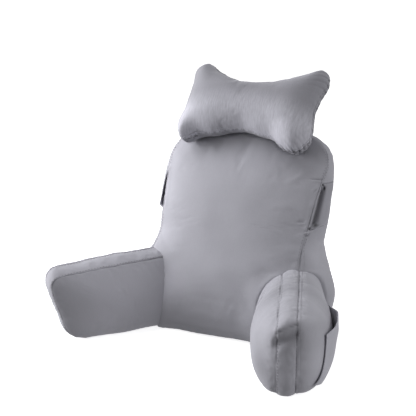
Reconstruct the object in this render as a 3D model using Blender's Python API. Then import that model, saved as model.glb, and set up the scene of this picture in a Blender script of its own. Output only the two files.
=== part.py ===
"""Reading pillow with arms and a neck pillow: filled cushions with cloth pockets.

Metres, +Z up. The pillow stands on z = 0 and faces -Y, and the origin is on the floor
under the middle of the backrest. The backrest is a loft of level sections. An arm or
the neck pillow is a pair of puffed panels that share an outline. A pocket is a thin
sheet laid over a cushion's side, sewn down on three edges and gaping at its mouth.
Run with: blender --background --python part.py
"""
import math

import bmesh
import bpy
import numpy as np

# ---------------------------------------------------------------- driving dimensions

BAND_WIDTH = 0.046            # the strip of cloth between an arm's two side panels
NECK_END_REACH = 0.216        # half the neck pillow's width
NECK_END_HEIGHT = 0.310       # neck pillow, across one end before its tips are rounded
NECK_WAIST_HEIGHT = 0.150     # neck pillow, across the drawn-in middle
NECK_WAIST_FULLNESS = 0.86    # thickness of its middle, as a share of its ends'
NECK_PUFF_FRONT = 0.062
NECK_PUFF_REAR = 0.064
NECK_RECLINE = 40.0           # degrees from upright
NECK_CENTRE = (0.002, 0.083, 0.555)
CLOTH = 0.002                 # thickness of a pocket's cloth
SEAT_GAP = 0.0005             # clearance between two pieces that are sewn together
HEM_GAP = 0.0009              # a sewn-down pocket edge above the cushion's facets

# ---------------------------------------------------------------- section tables

# Backrest, one row for each level section: height above the floor, half the width at
# the side seams, front seam, rear seam, and how far the front panel, the rear panel
# and the side bands puff out beyond those seams.
BACK_COLUMNS = ("height", "half", "front", "rear", "puff_front", "puff_rear", "puff_side")
BACK_SECTIONS = (
    (0.000, 0.156, -0.094, 0.086, 0.004, 0.004, 0.002),
    (0.004, 0.172, -0.104, 0.100, 0.007, 0.006, 0.003),
    (0.018, 0.186, -0.112, 0.114, 0.012, 0.009, 0.008),
    (0.050, 0.194, -0.111, 0.123, 0.020, 0.013, 0.024),
    (0.110, 0.198, -0.096, 0.124, 0.028, 0.017, 0.034),
    (0.170, 0.199, -0.073, 0.118, 0.034, 0.019, 0.030),
    (0.230, 0.200, -0.045, 0.110, 0.036, 0.020, 0.015),
    (0.290, 0.205, -0.017, 0.106, 0.035, 0.019, 0.008),
    (0.350, 0.212, 0.012, 0.106, 0.032, 0.017, 0.006),
    (0.400, 0.217, 0.041, 0.111, 0.028, 0.014, 0.005),
    (0.436, 0.219, 0.068, 0.118, 0.023, 0.011, 0.004),
    (0.458, 0.209, 0.084, 0.124, 0.018, 0.008, 0.004),
    (0.476, 0.188, 0.097, 0.128, 0.014, 0.006, 0.004),
    (0.492, 0.156, 0.107, 0.131, 0.009, 0.004, 0.005),
    (0.502, 0.118, 0.113, 0.132, 0.005, 0.003, 0.005),
    (0.507, 0.078, 0.117, 0.129, 0.003, 0.002, 0.004),
)
BACK_RING_PITCH = 0.018       # most height between two rings of the loft
FRONT_STEPS = 18              # segments across the front panel
REAR_STEPS = 14               # segments across the rear panel
SIDE_STEPS = 4                # segments across each side band
CROWN_POWER = 2.4             # how square the front and rear panels' crowns are

# Arms: side (-1 left, +1 right), splay from straight ahead in degrees, where the
# band's middle line starts, its length, its height at the back and at the front
# corner, how far the foot of the front end is set back, the rounding of that foot,
# how far the band tilts towards the seat in degrees, and how far the panels puff out
# beyond their seams.
ARM_COLUMNS = ("name", "side", "splay", "start_x", "start_y", "length", "rear_height",
               "front_height", "set_back", "foot_radius", "tilt", "puff_inner", "puff_outer")
ARMS = (
    ("left", -1, 34.0, 0.186, -0.084, 0.301, 0.190, 0.179, 0.050, 0.058, 20.0, 0.042, 0.070),
    ("right", 1, 21.0, 0.192, -0.086, 0.302, 0.204, 0.180, 0.034, 0.050, 10.0, 0.067, 0.076),
)
ARM_ROOT = -0.115             # the panels begin this far behind the band's start
ARM_ROOT_RADIUS = 0.045       # rounding of the panels' corners at the backrest
ARM_TOP_RADIUS = 0.022        # rounding of the top front corner
ARM_OUTLINE_STEPS = 44        # points round an arm's outline
PANEL_RINGS = 6               # rings from a panel's seam to its middle
PUFF_POWER = 2.0              # 2 is an ellipse, more is boxier

NECK_STEPS = (20, 14)         # segments across and up a panel of the neck pillow
NECK_FLARE_POWER = 2.7        # how late the seam turns up from the waist to the tips
NECK_END_NOTCH = 0.17         # how far each end is drawn in between its two tips
NECK_TIP_ROUNDING = 0.32      # 0 is a square tip, 0.5 a round end
NECK_POWER = 3.0              # how square its crown is

# ---------------------------------------------------------------- pockets' sizes

POCKET_STEPS = (12, 10)       # segments of a pocket's cloth along and up
INSIDE_BACKREST = (0.0, 0.04, 0.30)   # a point within the backrest, between its pockets
SIDE_POCKET_LOW = 0.284       # lower end of the mouth, above the floor
SIDE_POCKET_HIGH = 0.390
SIDE_POCKET_SAG = 0.006
SIDE_POCKET_FRONT = 0.05      # the mouth's place, as a share of the side band's depth
SIDE_POCKET_REAR = 0.90
SIDE_POCKET_GAPE = 0.014
ARM_POCKET_FRONT = 0.244      # distances ahead along the arm
ARM_POCKET_REAR = 0.030
ARM_POCKET_LOW = 0.026
ARM_POCKET_RIM_FRONT = 0.132  # height of the mouth at its front end
ARM_POCKET_RIM_REAR = 0.152
ARM_POCKET_CURVE = 0.020      # how far the lower front corner is rounded in
ARM_POCKET_GAPE = 0.012


# ---------------------------------------------------------------- helpers

def clear_scene():
    """Removes the startup objects, so that only the pillow is left."""
    for obj in list(bpy.data.objects):
        bpy.data.objects.remove(obj)


def cloth_material(name, colour, roughness):
    """A plain Principled material for one kind of cloth."""
    material = bpy.data.materials.new(name)
    material.use_nodes = True
    shader = material.node_tree.nodes["Principled BSDF"]
    shader.inputs["Base Color"].default_value = (*colour, 1.0)
    shader.inputs["Roughness"].default_value = roughness
    shader.inputs["Metallic"].default_value = 0.0
    return material


def column(rows, names, name):
    """One named column of a table, as an array."""
    return np.array([row[names.index(name)] for row in rows], float)


def smooth(knots, values, at):
    """A curve through the knots, with the slope at each that its neighbours give."""
    slopes = np.gradient(values, knots)
    index = np.clip(np.searchsorted(knots, at, side="right") - 1, 0, len(knots) - 2)
    span = knots[index + 1] - knots[index]
    t = (at - knots[index]) / span
    near = (1 + 2 * t) * (1 - t) ** 2 * values[index] + t * (1 - t) ** 2 * span * slopes[index]
    far = t * t * (3 - 2 * t) * values[index + 1] - t * t * (1 - t) * span * slopes[index + 1]
    return near + far


def evenly_spaced(line, count):
    """A closed line again, as count points the same distance apart."""
    closed = np.vstack([line, line[:1]])
    along = np.concatenate([[0], np.cumsum(np.linalg.norm(np.diff(closed, axis=0), axis=1))])
    at = np.linspace(0, along[-1], count, endpoint=False)
    return np.stack([np.interp(at, along, closed[:, k]) for k in range(2)], axis=1)


def rounded_polygon(corners, arc_steps=8):
    """A closed outline from (x, y, radius) corners, each turned into an arc."""
    points = []
    for i, (x, y, radius) in enumerate(corners):
        here = np.array([x, y])
        before = np.array(corners[i - 1][:2]) - here
        after = np.array(corners[(i + 1) % len(corners)][:2]) - here
        before /= np.linalg.norm(before)
        after /= np.linalg.norm(after)
        half = math.acos(before @ after) / 2
        middle = (before + after) / np.linalg.norm(before + after)
        centre = here + middle * radius / math.sin(half)
        start = here + before * radius / math.tan(half) - centre
        end = here + after * radius / math.tan(half) - centre
        for t in np.linspace(0, 1, arc_steps):
            turn = (1 - t) * start + t * end
            size = np.linalg.norm(turn)
            points.append(centre + turn * radius / size if size > 0 else here)
    return np.array(points)


def puff_profile(share):
    """A puffed panel's (distance from its middle, rise), from 0 at its seam to 1 in the middle."""
    angle = share * math.pi / 2
    distance = math.cos(angle) ** (2 / PUFF_POWER) if share < 1 else 0.0
    return distance, math.sin(angle) ** (2 / PUFF_POWER)


def mesh_object(name, points, faces, material, collection):
    """A mesh object of triangles, with its doubles merged and its faces pointing out."""
    mesh = bpy.data.meshes.new(name)
    mesh.from_pydata([tuple(p) for p in points], [], faces)
    work = bmesh.new()
    work.from_mesh(mesh)
    bmesh.ops.remove_doubles(work, verts=work.verts, dist=0.00002)
    bmesh.ops.triangulate(work, faces=work.faces)
    bmesh.ops.recalc_face_normals(work, faces=work.faces)
    work.to_mesh(mesh)
    work.free()
    mesh.materials.append(material)
    mesh.shade_smooth()
    obj = bpy.data.objects.new(name, mesh)
    collection.objects.link(obj)
    return obj


def ring_faces(rings, around):
    """Quads between neighbouring rings that each have the same number of points."""
    faces = []
    for ring in range(rings - 1):
        low, high = ring * around, (ring + 1) * around
        for i in range(around):
            j = (i + 1) % around
            faces.append((low + i, low + j, high + j, high + i))
    return faces


def raised(points, rise, away_from):
    """A grid of points moved by rise along the grid's normals, away from a point inside."""
    normals = np.cross(np.gradient(points, axis=0), np.gradient(points, axis=1))
    normals /= np.linalg.norm(normals, axis=-1, keepdims=True)
    normals *= np.sign(np.sum(normals * (points - away_from), axis=-1, keepdims=True))
    return points + rise[..., None] * normals


def cloth_grid(place, along_steps, up_steps, name, material, collection):
    """A thin sheet from place(along, up, layer), where layer is 0 below and 1 on top."""
    along, up = np.meshgrid(
        np.linspace(0, 1, along_steps + 1), np.linspace(0, 1, up_steps + 1), indexing="ij"
    )
    below, above = place(along, up, 0), place(along, up, 1)
    points = np.concatenate([below.reshape(-1, 3), above.reshape(-1, 3)])
    layer = (along_steps + 1) * (up_steps + 1)

    def index(i, j, k):
        return k * layer + i * (up_steps + 1) + j

    faces = []
    for i in range(along_steps):
        for j in range(up_steps):
            for k in (0, 1):
                faces.append((
                    index(i, j, k), index(i + 1, j, k), index(i + 1, j + 1, k), index(i, j + 1, k)
                ))
    for i in range(along_steps):
        for j in (0, up_steps):
            faces.append((index(i, j, 0), index(i + 1, j, 0), index(i + 1, j, 1), index(i, j, 1)))
    for j in range(up_steps):
        for i in (0, along_steps):
            faces.append((index(i, j, 0), index(i, j + 1, 0), index(i, j + 1, 1), index(i, j, 1)))
    return mesh_object(name, points, faces, material, collection)


def helper(obj):
    """Marks an object as a cutter, which is not part of the pillow."""
    obj.hide_render = True
    obj.display_type = "WIRE"
    return obj


def make_room(obj, cutter):
    """Cuts the cutter's shape out of obj."""
    modifier = obj.modifiers.new("seat", "BOOLEAN")
    modifier.operation = "DIFFERENCE"
    modifier.solver = "EXACT"
    modifier.object = cutter


# ---------------------------------------------------------------- backrest

def back_value(name, height):
    """A column of the backrest's table at any height."""
    heights = column(BACK_SECTIONS, BACK_COLUMNS, "height")
    return smooth(heights, column(BACK_SECTIONS, BACK_COLUMNS, name), height)


def back_side(height, depth, side):
    """Points of a side band, where depth runs from 0 at the front seam to 1 at the rear."""
    front, rear = back_value("front", height), back_value("rear", height)
    bulge = back_value("puff_side", height) * np.sin(math.pi * depth)
    x = side * (back_value("half", height) + bulge)
    return np.stack([x, front + (rear - front) * depth, height + 0 * x], axis=-1)


def back_panel(height, across, seam, puff, sign):
    """Points of the front or rear panel, where across runs from -1 to 1."""
    x = np.sin(across * math.pi / 2)
    crown = back_value(puff, height) * (1 - np.abs(x) ** CROWN_POWER)
    y = back_value(seam, height) + sign * crown
    return np.stack([back_value("half", height) * x, y, height + 0 * x], axis=-1)


def back_ring(height):
    """One level section: front panel, right band, rear panel and left band in turn."""
    to_right = np.linspace(-1, 1, FRONT_STEPS, endpoint=False)
    to_rear = np.linspace(0, 1, SIDE_STEPS, endpoint=False)
    to_left = np.linspace(1, -1, REAR_STEPS, endpoint=False)
    return np.concatenate([
        back_panel(height, to_right, "front", "puff_front", -1),
        back_side(height, to_rear, 1),
        back_panel(height, to_left, "rear", "puff_rear", 1),
        back_side(height, 1 - to_rear, -1),
    ])


def back_levels():
    """The heights of the rings, closer together where the table's rows are."""
    heights = column(BACK_SECTIONS, BACK_COLUMNS, "height")
    levels = [heights[:1]]
    for low, high in zip(heights[:-1], heights[1:]):
        steps = max(1, round((high - low) / BACK_RING_PITCH))
        levels.append(np.linspace(low, high, steps + 1)[1:])
    return np.concatenate(levels)


def build_backrest(material, collection):
    """The filled wedge that the reader leans on."""
    rings = [back_ring(height) for height in back_levels()]
    around = len(rings[0])
    faces = ring_faces(len(rings), around)
    faces.append(tuple(range(around)))
    faces.append(tuple(range((len(rings) - 1) * around, len(rings) * around)))
    return mesh_object("backrest", np.concatenate(rings), faces, material, collection)


def build_backrest_cutter(backrest, collection):
    """The backrest grown by the clearance, to cut its neighbours to fit."""
    cutter = helper(bpy.data.objects.new("backrest_cutter", backrest.data))
    collection.objects.link(cutter)
    grow = cutter.modifiers.new("grow", "DISPLACE")
    grow.strength = SEAT_GAP
    grow.mid_level = 0.0
    return cutter


# ---------------------------------------------------------------- arms

def arm_values(row):
    """An arm's row as a dict, with its directions worked out."""
    arm = dict(zip(ARM_COLUMNS, row))
    splay = math.radians(arm["splay"])
    arm["ahead"] = np.array([arm["side"] * math.sin(splay), -math.cos(splay), 0.0])
    arm["outward"] = np.array([arm["side"] * math.cos(splay), math.sin(splay), 0.0])
    arm["start"] = np.array([arm["side"] * arm["start_x"], arm["start_y"], 0.0])
    return arm


def arm_outline(arm):
    """The band's middle line round the arm, as (distance ahead, height)."""
    slope = (arm["front_height"] - arm["rear_height"]) / arm["length"]
    root_height = arm["rear_height"] + slope * ARM_ROOT
    corners = (
        (ARM_ROOT, 0.0, ARM_ROOT_RADIUS),
        (ARM_ROOT, root_height, ARM_ROOT_RADIUS),
        (arm["length"], arm["front_height"], ARM_TOP_RADIUS),
        (arm["length"] - arm["set_back"], 0.0, arm["foot_radius"]),
    )
    return evenly_spaced(rounded_polygon(corners), ARM_OUTLINE_STEPS)


def arm_panel(arm, outer, inward):
    """Rings of one side panel; inward runs from 0 at the seam to 1 at the middle."""
    outline = arm_outline(arm)
    middle = outline.mean(axis=0)
    tilt = math.radians(arm["tilt"])
    sign = 1 if outer else -1
    puff = arm["puff_outer"] if outer else arm["puff_inner"]
    lift = 1 + sign * math.sin(tilt) * BAND_WIDTH / 2 / arm["rear_height"]
    rings = []
    for share in inward:
        shrink, rise = puff_profile(share)
        flat = middle + (outline - middle) * shrink
        aside = sign * (math.cos(tilt) * BAND_WIDTH / 2 + puff * rise)
        rings.append(
            arm["start"]
            + flat[:, :1] * arm["ahead"]
            + aside * arm["outward"]
            + flat[:, 1:] * np.array([0.0, 0.0, lift])
        )
    return rings


def build_arm(row, material, cutter, collection):
    """A filled arm: an inner and an outer panel joined by a band round the edge."""
    arm = arm_values(row)
    inward = np.linspace(0, 1, PANEL_RINGS + 1)
    inner = arm_panel(arm, False, inward)
    outer = arm_panel(arm, True, inward)
    rings = inner[::-1] + outer
    faces = ring_faces(len(rings), len(rings[0]))
    obj = mesh_object("arm_" + arm["name"], np.concatenate(rings), faces, material, collection)
    make_room(obj, cutter)
    return obj


# ---------------------------------------------------------------- neck pillow

def neck_panel(across, up, sign):
    """One panel of the neck pillow in its own plane; across and up run from -1 to 1."""
    u, v = np.sin(across * math.pi / 2), np.sin(up * math.pi / 2)
    end_half, waist_half = NECK_END_HEIGHT / 2, NECK_WAIST_HEIGHT / 2
    half = waist_half + (end_half - waist_half) * np.abs(u) ** NECK_FLARE_POWER
    x = NECK_END_REACH * u * (1 - NECK_END_NOTCH * (1 - v * v)) * np.sqrt(1 - NECK_TIP_ROUNDING * v * v)
    y = half * v * np.sqrt(1 - NECK_TIP_ROUNDING * u * u)
    crown = ((1 - np.abs(u) ** NECK_POWER) * (1 - np.abs(v) ** NECK_POWER)) ** (1 / NECK_POWER)
    fullness = NECK_WAIST_FULLNESS + (1 - NECK_WAIST_FULLNESS) * u * u
    puff = NECK_PUFF_FRONT if sign > 0 else NECK_PUFF_REAR
    return x, y, sign * puff * crown * fullness


def neck_axes():
    """The neck pillow's across, up and forward directions."""
    recline = math.radians(NECK_RECLINE)
    across = np.array([1.0, 0.0, 0.0])
    up = np.array([0.0, math.sin(recline), math.cos(recline)])
    forward = np.array([0.0, -math.cos(recline), math.sin(recline)])
    return across, up, forward


def build_neck_pillow(material, cutter, collection):
    """The bone-shaped head rest that leans on the top of the backrest."""
    directions = neck_axes()

    def place(along, up, layer):
        offsets = neck_panel(2 * along - 1, 2 * up - 1, 2 * layer - 1)
        return np.array(NECK_CENTRE) + sum(o[..., None] * d for o, d in zip(offsets, directions))

    obj = cloth_grid(place, *NECK_STEPS, "neck_pillow", material, collection)
    make_room(obj, cutter)
    return obj


# ---------------------------------------------------------------- pockets

def build_side_pocket(name, side, material, collection):
    """A pocket on a side gusset, open along the gusset's front seam."""

    def place(along, up, layer):
        low = SIDE_POCKET_LOW + SIDE_POCKET_SAG * np.sin(math.pi * along)
        height = low + (SIDE_POCKET_HIGH - low) * up
        depth = SIDE_POCKET_FRONT + (SIDE_POCKET_REAR - SIDE_POCKET_FRONT) * along
        gape = SIDE_POCKET_GAPE * np.sin(math.pi * up) ** 1.2 * (1 - along) ** 1.6
        return raised(back_side(height, depth, side), HEM_GAP + gape + layer * CLOTH, INSIDE_BACKREST)

    return cloth_grid(place, *POCKET_STEPS, "side_pocket_" + name, material, collection)


def arm_reach(arm, ahead, height):
    """How far out a point of an arm's panel is: 0 in the panel's middle, 1 at its seam."""
    outline = arm_outline(arm)
    spokes = outline - outline.mean(axis=0)
    angles = np.arctan2(spokes[:, 1], spokes[:, 0])
    order = np.argsort(angles)
    offset = np.stack([ahead, height], axis=-1) - outline.mean(axis=0)
    angle = np.arctan2(offset[..., 1], offset[..., 0])
    edge = np.interp(angle, angles[order], np.linalg.norm(spokes, axis=1)[order], period=2 * math.pi)
    return np.linalg.norm(offset, axis=-1) / edge


def build_arm_pocket(row, material, collection):
    """A pocket on an arm's outer panel, open along its top edge."""
    arm = arm_values(row)
    tilt = math.radians(arm["tilt"])
    lift = 1 + math.sin(tilt) * BAND_WIDTH / 2 / arm["rear_height"]

    def place(along, up, layer):
        front = ARM_POCKET_FRONT - ARM_POCKET_CURVE * (1 - up) ** 2
        ahead = ARM_POCKET_REAR + (front - ARM_POCKET_REAR) * along
        rim = ARM_POCKET_RIM_REAR + (ARM_POCKET_RIM_FRONT - ARM_POCKET_RIM_REAR) * along
        low = ARM_POCKET_LOW + ARM_POCKET_CURVE * np.maximum(0, 2 * along - 1) ** 2
        height = low + (rim - low) * up
        reach = np.minimum(arm_reach(arm, ahead, height), 1.0)
        bulge = arm["puff_outer"] * (1 - reach ** PUFF_POWER) ** (1 / PUFF_POWER)
        gape = ARM_POCKET_GAPE * np.sin(math.pi * along) ** 0.7 * up ** 1.4
        aside = math.cos(tilt) * BAND_WIDTH / 2 + bulge
        panel = (
            arm["start"]
            + ahead[..., None] * arm["ahead"]
            + aside[..., None] * arm["outward"]
            + height[..., None] * np.array([0.0, 0.0, lift])
        )
        inside = arm["start"] + arm["length"] / 2 * arm["ahead"] + [0, 0, arm["front_height"] / 2]
        return raised(panel, HEM_GAP + gape + layer * CLOTH, inside)

    return cloth_grid(place, *POCKET_STEPS, "arm_pocket_" + arm["name"], material, collection)


# ---------------------------------------------------------------- the pillow

def main():
    """Builds every piece, each in its own object."""
    clear_scene()
    pillow = bpy.data.collections.new("reading_pillow")
    cutters = bpy.data.collections.new("cutters")
    for collection in (pillow, cutters):
        bpy.context.scene.collection.children.link(collection)
    plush = cloth_material("plush", (0.40, 0.40, 0.46), 0.85)
    pillow_plush = cloth_material("pillow_plush", (0.37, 0.37, 0.43), 0.85)
    pocket_cloth = cloth_material("pocket_cloth", (0.36, 0.36, 0.42), 0.85)

    backrest = build_backrest(plush, pillow)
    cutter = build_backrest_cutter(backrest, cutters)
    for row in ARMS:
        build_arm(row, plush, cutter, pillow)
        build_arm_pocket(row, pocket_cloth, pillow)
    build_neck_pillow(pillow_plush, cutter, pillow)
    for name, side in (("left", -1), ("right", 1)):
        build_side_pocket(name, side, pocket_cloth, pillow)


main()
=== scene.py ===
# %% [markdown]
# # A reading pillow with arms
#
# The real object is a set of stuffed covers. A wedge-shaped backrest leans back over its
# own base, an arm is sewn on at each side, a bone-shaped neck pillow rests on the top,
# and four small pockets are sewn to the outside. The covers are a short-pile velvet.
#
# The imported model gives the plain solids, and every new piece here replaces one of them.
# Each cover is worked out as a surface over two parameters, with its seams and creases
# in it. A cloth simulation of the same cover then adds small folds, and rows of stitches
# are laid along the finished seams.

# %% Load the fixed frame
import math

import bmesh
import bpy
import numpy as np
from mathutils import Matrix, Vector


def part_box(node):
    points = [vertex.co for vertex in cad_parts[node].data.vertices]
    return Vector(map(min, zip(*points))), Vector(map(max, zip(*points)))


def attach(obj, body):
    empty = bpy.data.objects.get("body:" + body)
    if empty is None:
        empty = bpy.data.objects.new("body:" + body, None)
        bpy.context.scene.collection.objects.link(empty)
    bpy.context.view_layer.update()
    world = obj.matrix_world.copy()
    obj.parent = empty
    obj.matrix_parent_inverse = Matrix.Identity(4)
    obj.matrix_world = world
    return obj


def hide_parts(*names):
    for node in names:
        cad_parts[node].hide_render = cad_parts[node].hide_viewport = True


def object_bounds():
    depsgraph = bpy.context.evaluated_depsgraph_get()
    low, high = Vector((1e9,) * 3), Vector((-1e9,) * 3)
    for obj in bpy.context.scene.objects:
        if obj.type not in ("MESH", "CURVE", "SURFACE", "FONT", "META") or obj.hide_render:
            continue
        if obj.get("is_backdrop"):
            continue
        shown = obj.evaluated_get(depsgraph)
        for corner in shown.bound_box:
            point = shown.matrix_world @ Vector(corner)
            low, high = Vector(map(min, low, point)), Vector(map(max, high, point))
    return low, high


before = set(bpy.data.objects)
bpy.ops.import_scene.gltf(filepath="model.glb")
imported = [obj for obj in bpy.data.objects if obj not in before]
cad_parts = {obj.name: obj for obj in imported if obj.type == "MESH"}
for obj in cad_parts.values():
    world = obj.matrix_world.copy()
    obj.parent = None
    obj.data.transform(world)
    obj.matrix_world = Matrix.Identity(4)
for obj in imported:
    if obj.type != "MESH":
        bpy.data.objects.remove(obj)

cad_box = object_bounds()
for node in sorted(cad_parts):
    low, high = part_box(node)
    print(node, "spans", [round(1000 * (b - a)) for a, b in zip(low, high)], "mm")


# %% [markdown]
# ## The camera
#
# The pillow is seen from a little to its own left, from just above the neck pillow's
# height, through a long lens: that keeps the near arm from looming over the backrest.
# The camera is placed by an angle round the object, an angle above the floor and a
# distance, because these three are what one changes to find a view.

# %% Place the camera
CAMERA_AZIMUTH = 27.8         # degrees round from straight ahead
CAMERA_ELEVATION = 14.3       # degrees above level
CAMERA_DISTANCE = 2.16
CAMERA_AIM = Vector((-0.079, 0.0, 0.302))
CAMERA_SENSOR = 36.0          # millimetres
FOCAL_PIXELS = 834.0          # focal length in pixels of a frame 416 pixels wide
FRAME_PIXELS = 416


def away(azimuth, elevation):
    """The direction from the object out to a viewer: the sine and minus the cosine of the
    azimuth, both times the cosine of the elevation, and the sine of the elevation."""
    a, e = math.radians(azimuth), math.radians(elevation)
    return Vector((math.sin(a) * math.cos(e), -math.cos(a) * math.cos(e), math.sin(e)))


def aim(obj, target):
    """Turns a camera or a light so that its -Z axis points at a target."""
    obj.rotation_euler = (Vector(target) - obj.location).to_track_quat("-Z", "Y").to_euler()


def new_object(name, data):
    """A new object that holds a mesh, a camera or a light, in the scene."""
    obj = bpy.data.objects.new(name, data)
    bpy.context.scene.collection.objects.link(obj)
    return obj


camera = new_object("camera", bpy.data.cameras.new("camera"))
bpy.context.scene.camera = camera
camera.location = CAMERA_AIM + CAMERA_DISTANCE * away(CAMERA_AZIMUTH, CAMERA_ELEVATION)
camera.data.sensor_width = CAMERA_SENSOR
camera.data.lens = CAMERA_SENSOR * FOCAL_PIXELS / FRAME_PIXELS
aim(camera, CAMERA_AIM)
print("lens", round(camera.data.lens, 1), "mm at", CAMERA_DISTANCE, "m")


# %% [markdown]
# ## From numbers to a mesh
#
# A cover is a grid of points, one for each pair of its two parameters, so its faces
# follow from the grid's shape alone. Blender could take them one by one from a list, but
# whole arrays written with foreach_set are far quicker. Where a side of the grid closes
# on itself it wraps round, and where a row shrinks to a point, its points are merged.

# %% Grid, mesh and normal helpers
MERGE = 0.00002               # points closer than this are one
TINY = 1e-9                   # keeps a division by a length of nothing from failing


def numbered(shape):
    """A number for each point of a grid, in the grid's own shape."""
    return np.arange(math.prod(shape)).reshape(shape)


def grid_quads(ids, wrap=False):
    """Quads of a grid of point numbers: a point, the next along its row, the one across
    from that, and back. With wrap, the last column joins the first."""
    if wrap:
        ids = np.concatenate([ids, ids[:, :1]], axis=1)
    corners = [ids[:-1, :-1], ids[:-1, 1:], ids[1:, 1:], ids[1:, :-1]]
    return np.stack(corners, axis=-1).reshape(-1, 4)


def mesh_from(name, points, quads, **attributes):
    """A mesh object from points, quads and a number at each point for each attribute,
    with doubles merged and faces pointing outwards."""
    points = points.reshape(-1, 3)
    mesh = bpy.data.meshes.new(name)
    mesh.vertices.add(len(points))
    mesh.vertices.foreach_set("co", np.ascontiguousarray(points, np.float32).ravel())
    mesh.loops.add(quads.size)
    mesh.loops.foreach_set("vertex_index", np.ascontiguousarray(quads, np.int32).ravel())
    mesh.polygons.add(len(quads))
    mesh.polygons.foreach_set("loop_start", np.arange(0, quads.size, 4, dtype=np.int32))
    for key, values in attributes.items():
        layer = mesh.attributes.new(key, "FLOAT", "POINT")
        layer.data.foreach_set("value", np.ascontiguousarray(values, np.float32).ravel())
    mesh.update(calc_edges=True)
    work = bmesh.new()
    work.from_mesh(mesh)
    bmesh.ops.remove_doubles(work, verts=work.verts, dist=MERGE)
    bmesh.ops.recalc_face_normals(work, faces=work.faces)
    work.to_mesh(mesh)
    work.free()
    mesh.shade_smooth()
    return new_object(name, mesh)


def unit(vectors):
    """Vectors of length one: each divided by its own length."""
    return vectors / np.maximum(np.linalg.norm(vectors, axis=-1, keepdims=True), TINY)


def grid_normals(points, inside, wrap=False):
    """A grid's normals: the cross product of its step along a row and its step to the
    next row, of length one, all turned round if most point towards a point inside."""
    if wrap:
        along = np.roll(points, -1, axis=1) - np.roll(points, 1, axis=1)
    else:
        along = np.gradient(points, axis=1)
    normals = unit(np.cross(along, np.gradient(points, axis=0)))
    return normals * np.sign(np.sum(normals * (points - inside)))


def raised(points, rise, inside):
    """A grid of points moved along its normals, away from a point inside."""
    return points + rise[..., None] * grid_normals(points, inside)


print("3 rows of 4 points make", len(grid_quads(numbered((3, 4)))), "quads")


# %% [markdown]
# ## Where the points go, and how far they are from a seam
#
# A seam is a line only a millimetre or two wide on a cover half a metre across. An even
# grid would need millions of points to show it, so the rows and columns crowd together
# beside the seams and spread out between them.

# %% Spacing and seam distances
CELL = 0.0046                 # a cell between seams
FINE_CELL = 0.0012            # a cell beside a seam
FINE_ZONE = 0.016             # over this distance the cells grow
FINE_SHARE = 0.3              # starting at this share of it from the seam
SAMPLES = 3001                # places tried along a strip
WAVES = 28                    # plane waves in a random field


def crowd(length, low=True, high=True, cell=CELL, zone=FINE_ZONE, also=()):
    """Shares from 0 to 1 along a strip of a real length. The cell is FINE_CELL beside a
    seam and grows evenly to its full size over the zone. Seams lie at either end, and at
    the other distances that are given."""
    s = np.linspace(0, length, SAMPLES)
    near = np.full_like(s, length)
    near = np.minimum(near, s) if low else near
    near = np.minimum(near, length - s) if high else near
    for place in also:
        near = np.minimum(near, np.abs(s - place))
    size = FINE_CELL + (cell - FINE_CELL) * np.clip((near - FINE_SHARE * zone) / zone, 0, 1)
    count = np.concatenate([[0], np.cumsum(np.diff(s) / ((size[1:] + size[:-1]) / 2))])
    steps = max(2, round(count[-1]))
    return np.interp(np.linspace(0, count[-1], steps + 1), count, s) / length


def walked(points):
    """Distance walked down each column of points: 0 at its first point, and then the sum
    of the steps so far."""
    steps = np.linalg.norm(np.diff(points, axis=0), axis=-1)
    return np.concatenate([np.zeros_like(steps[:1]), np.cumsum(steps, axis=0)])


def ring_lengths(points):
    """(distance along each closed row up to each point, the whole row's length)."""
    steps = np.linalg.norm(np.roll(points, -1, axis=1) - points, axis=-1)
    ends = np.cumsum(steps, axis=1)
    return ends - steps, ends[:, -1:]


def ring_offset(lengths, column):
    """Signed distance along each closed row from the point in a given column."""
    along, total = lengths
    return (along - along[:, column:column + 1] + total / 2) % total - total / 2


def bump(q, width):
    """A soft hill of height 1: e to the power of minus the square of q over width."""
    return np.exp(-(q / width) ** 2)


def ramp(q, low, high):
    """0 below low, 1 above high, and 3tt - 2ttt in between, where t is the share passed."""
    t = np.clip((q - low) / (high - low), 0, 1)
    return t * t * (3 - 2 * t)


def between(q, low, rise, fall, high):
    """0 outside low to high and 1 from rise to fall, with a ramp at either end."""
    return ramp(q, low, rise) * (1 - ramp(q, fall, high))


def crumple(points, size, seed):
    """A smooth random field with hills about size apart: the sum of the cosines of plane
    waves with random directions, over the square root of half their number."""
    random = np.random.default_rng(seed)
    turns = unit(random.normal(size=(WAVES, 3))) * random.uniform(0.6, 1.5, (WAVES, 1))
    phase = random.uniform(0, 2 * math.pi, WAVES)
    total = np.cos(points.reshape(-1, 3) @ (turns * math.pi / size).T + phase).sum(axis=1)
    return (total / math.sqrt(WAVES / 2)).reshape(points.shape[:-1])


print("a panel 0.4 m wide gets", len(crowd(0.4)) - 1, "cells")


# %% [markdown]
# A crease is a short fold that stays where the cloth was pinched. It could be sculpted by
# hand, but as a line with a width, a height and a painted shade it is one row of a table,
# and can be moved or deepened later. The painted shade darkens the cloth along a crease
# where shade falls in it, and below 0 it is a painted highlight along a ridge. Where two
# bodies meet, their distances are blended, so that the corner between them is round.

# %% Creases and rounded corners
def crease(points, line, width):
    """A fold of cloth along a line of points: a bump of the distance from it over its
    width, less half of that again two widths away, fading out at the line's ends."""
    line = np.array(line, float)
    lengths = np.linalg.norm(np.diff(line, axis=0), axis=1)
    start = walked(line)
    nearest, share = np.full(points.shape[:-1], np.inf), np.zeros(points.shape[:-1])
    for a, b, length, before in zip(line[:-1], line[1:], lengths, start):
        t = np.clip((points - a) @ (b - a) / length ** 2, 0, 1)
        gap = np.linalg.norm(points - a - t[..., None] * (b - a), axis=-1)
        share = np.where(gap < nearest, (before + t * length) / start[-1], share)
        nearest = np.minimum(nearest, gap)
    fade = np.sqrt(np.sin(math.pi * np.clip(share, 0.01, 0.99)))
    return fade * (bump(nearest, width) - 0.5 * bump(nearest - 2 * width, width))


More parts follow.
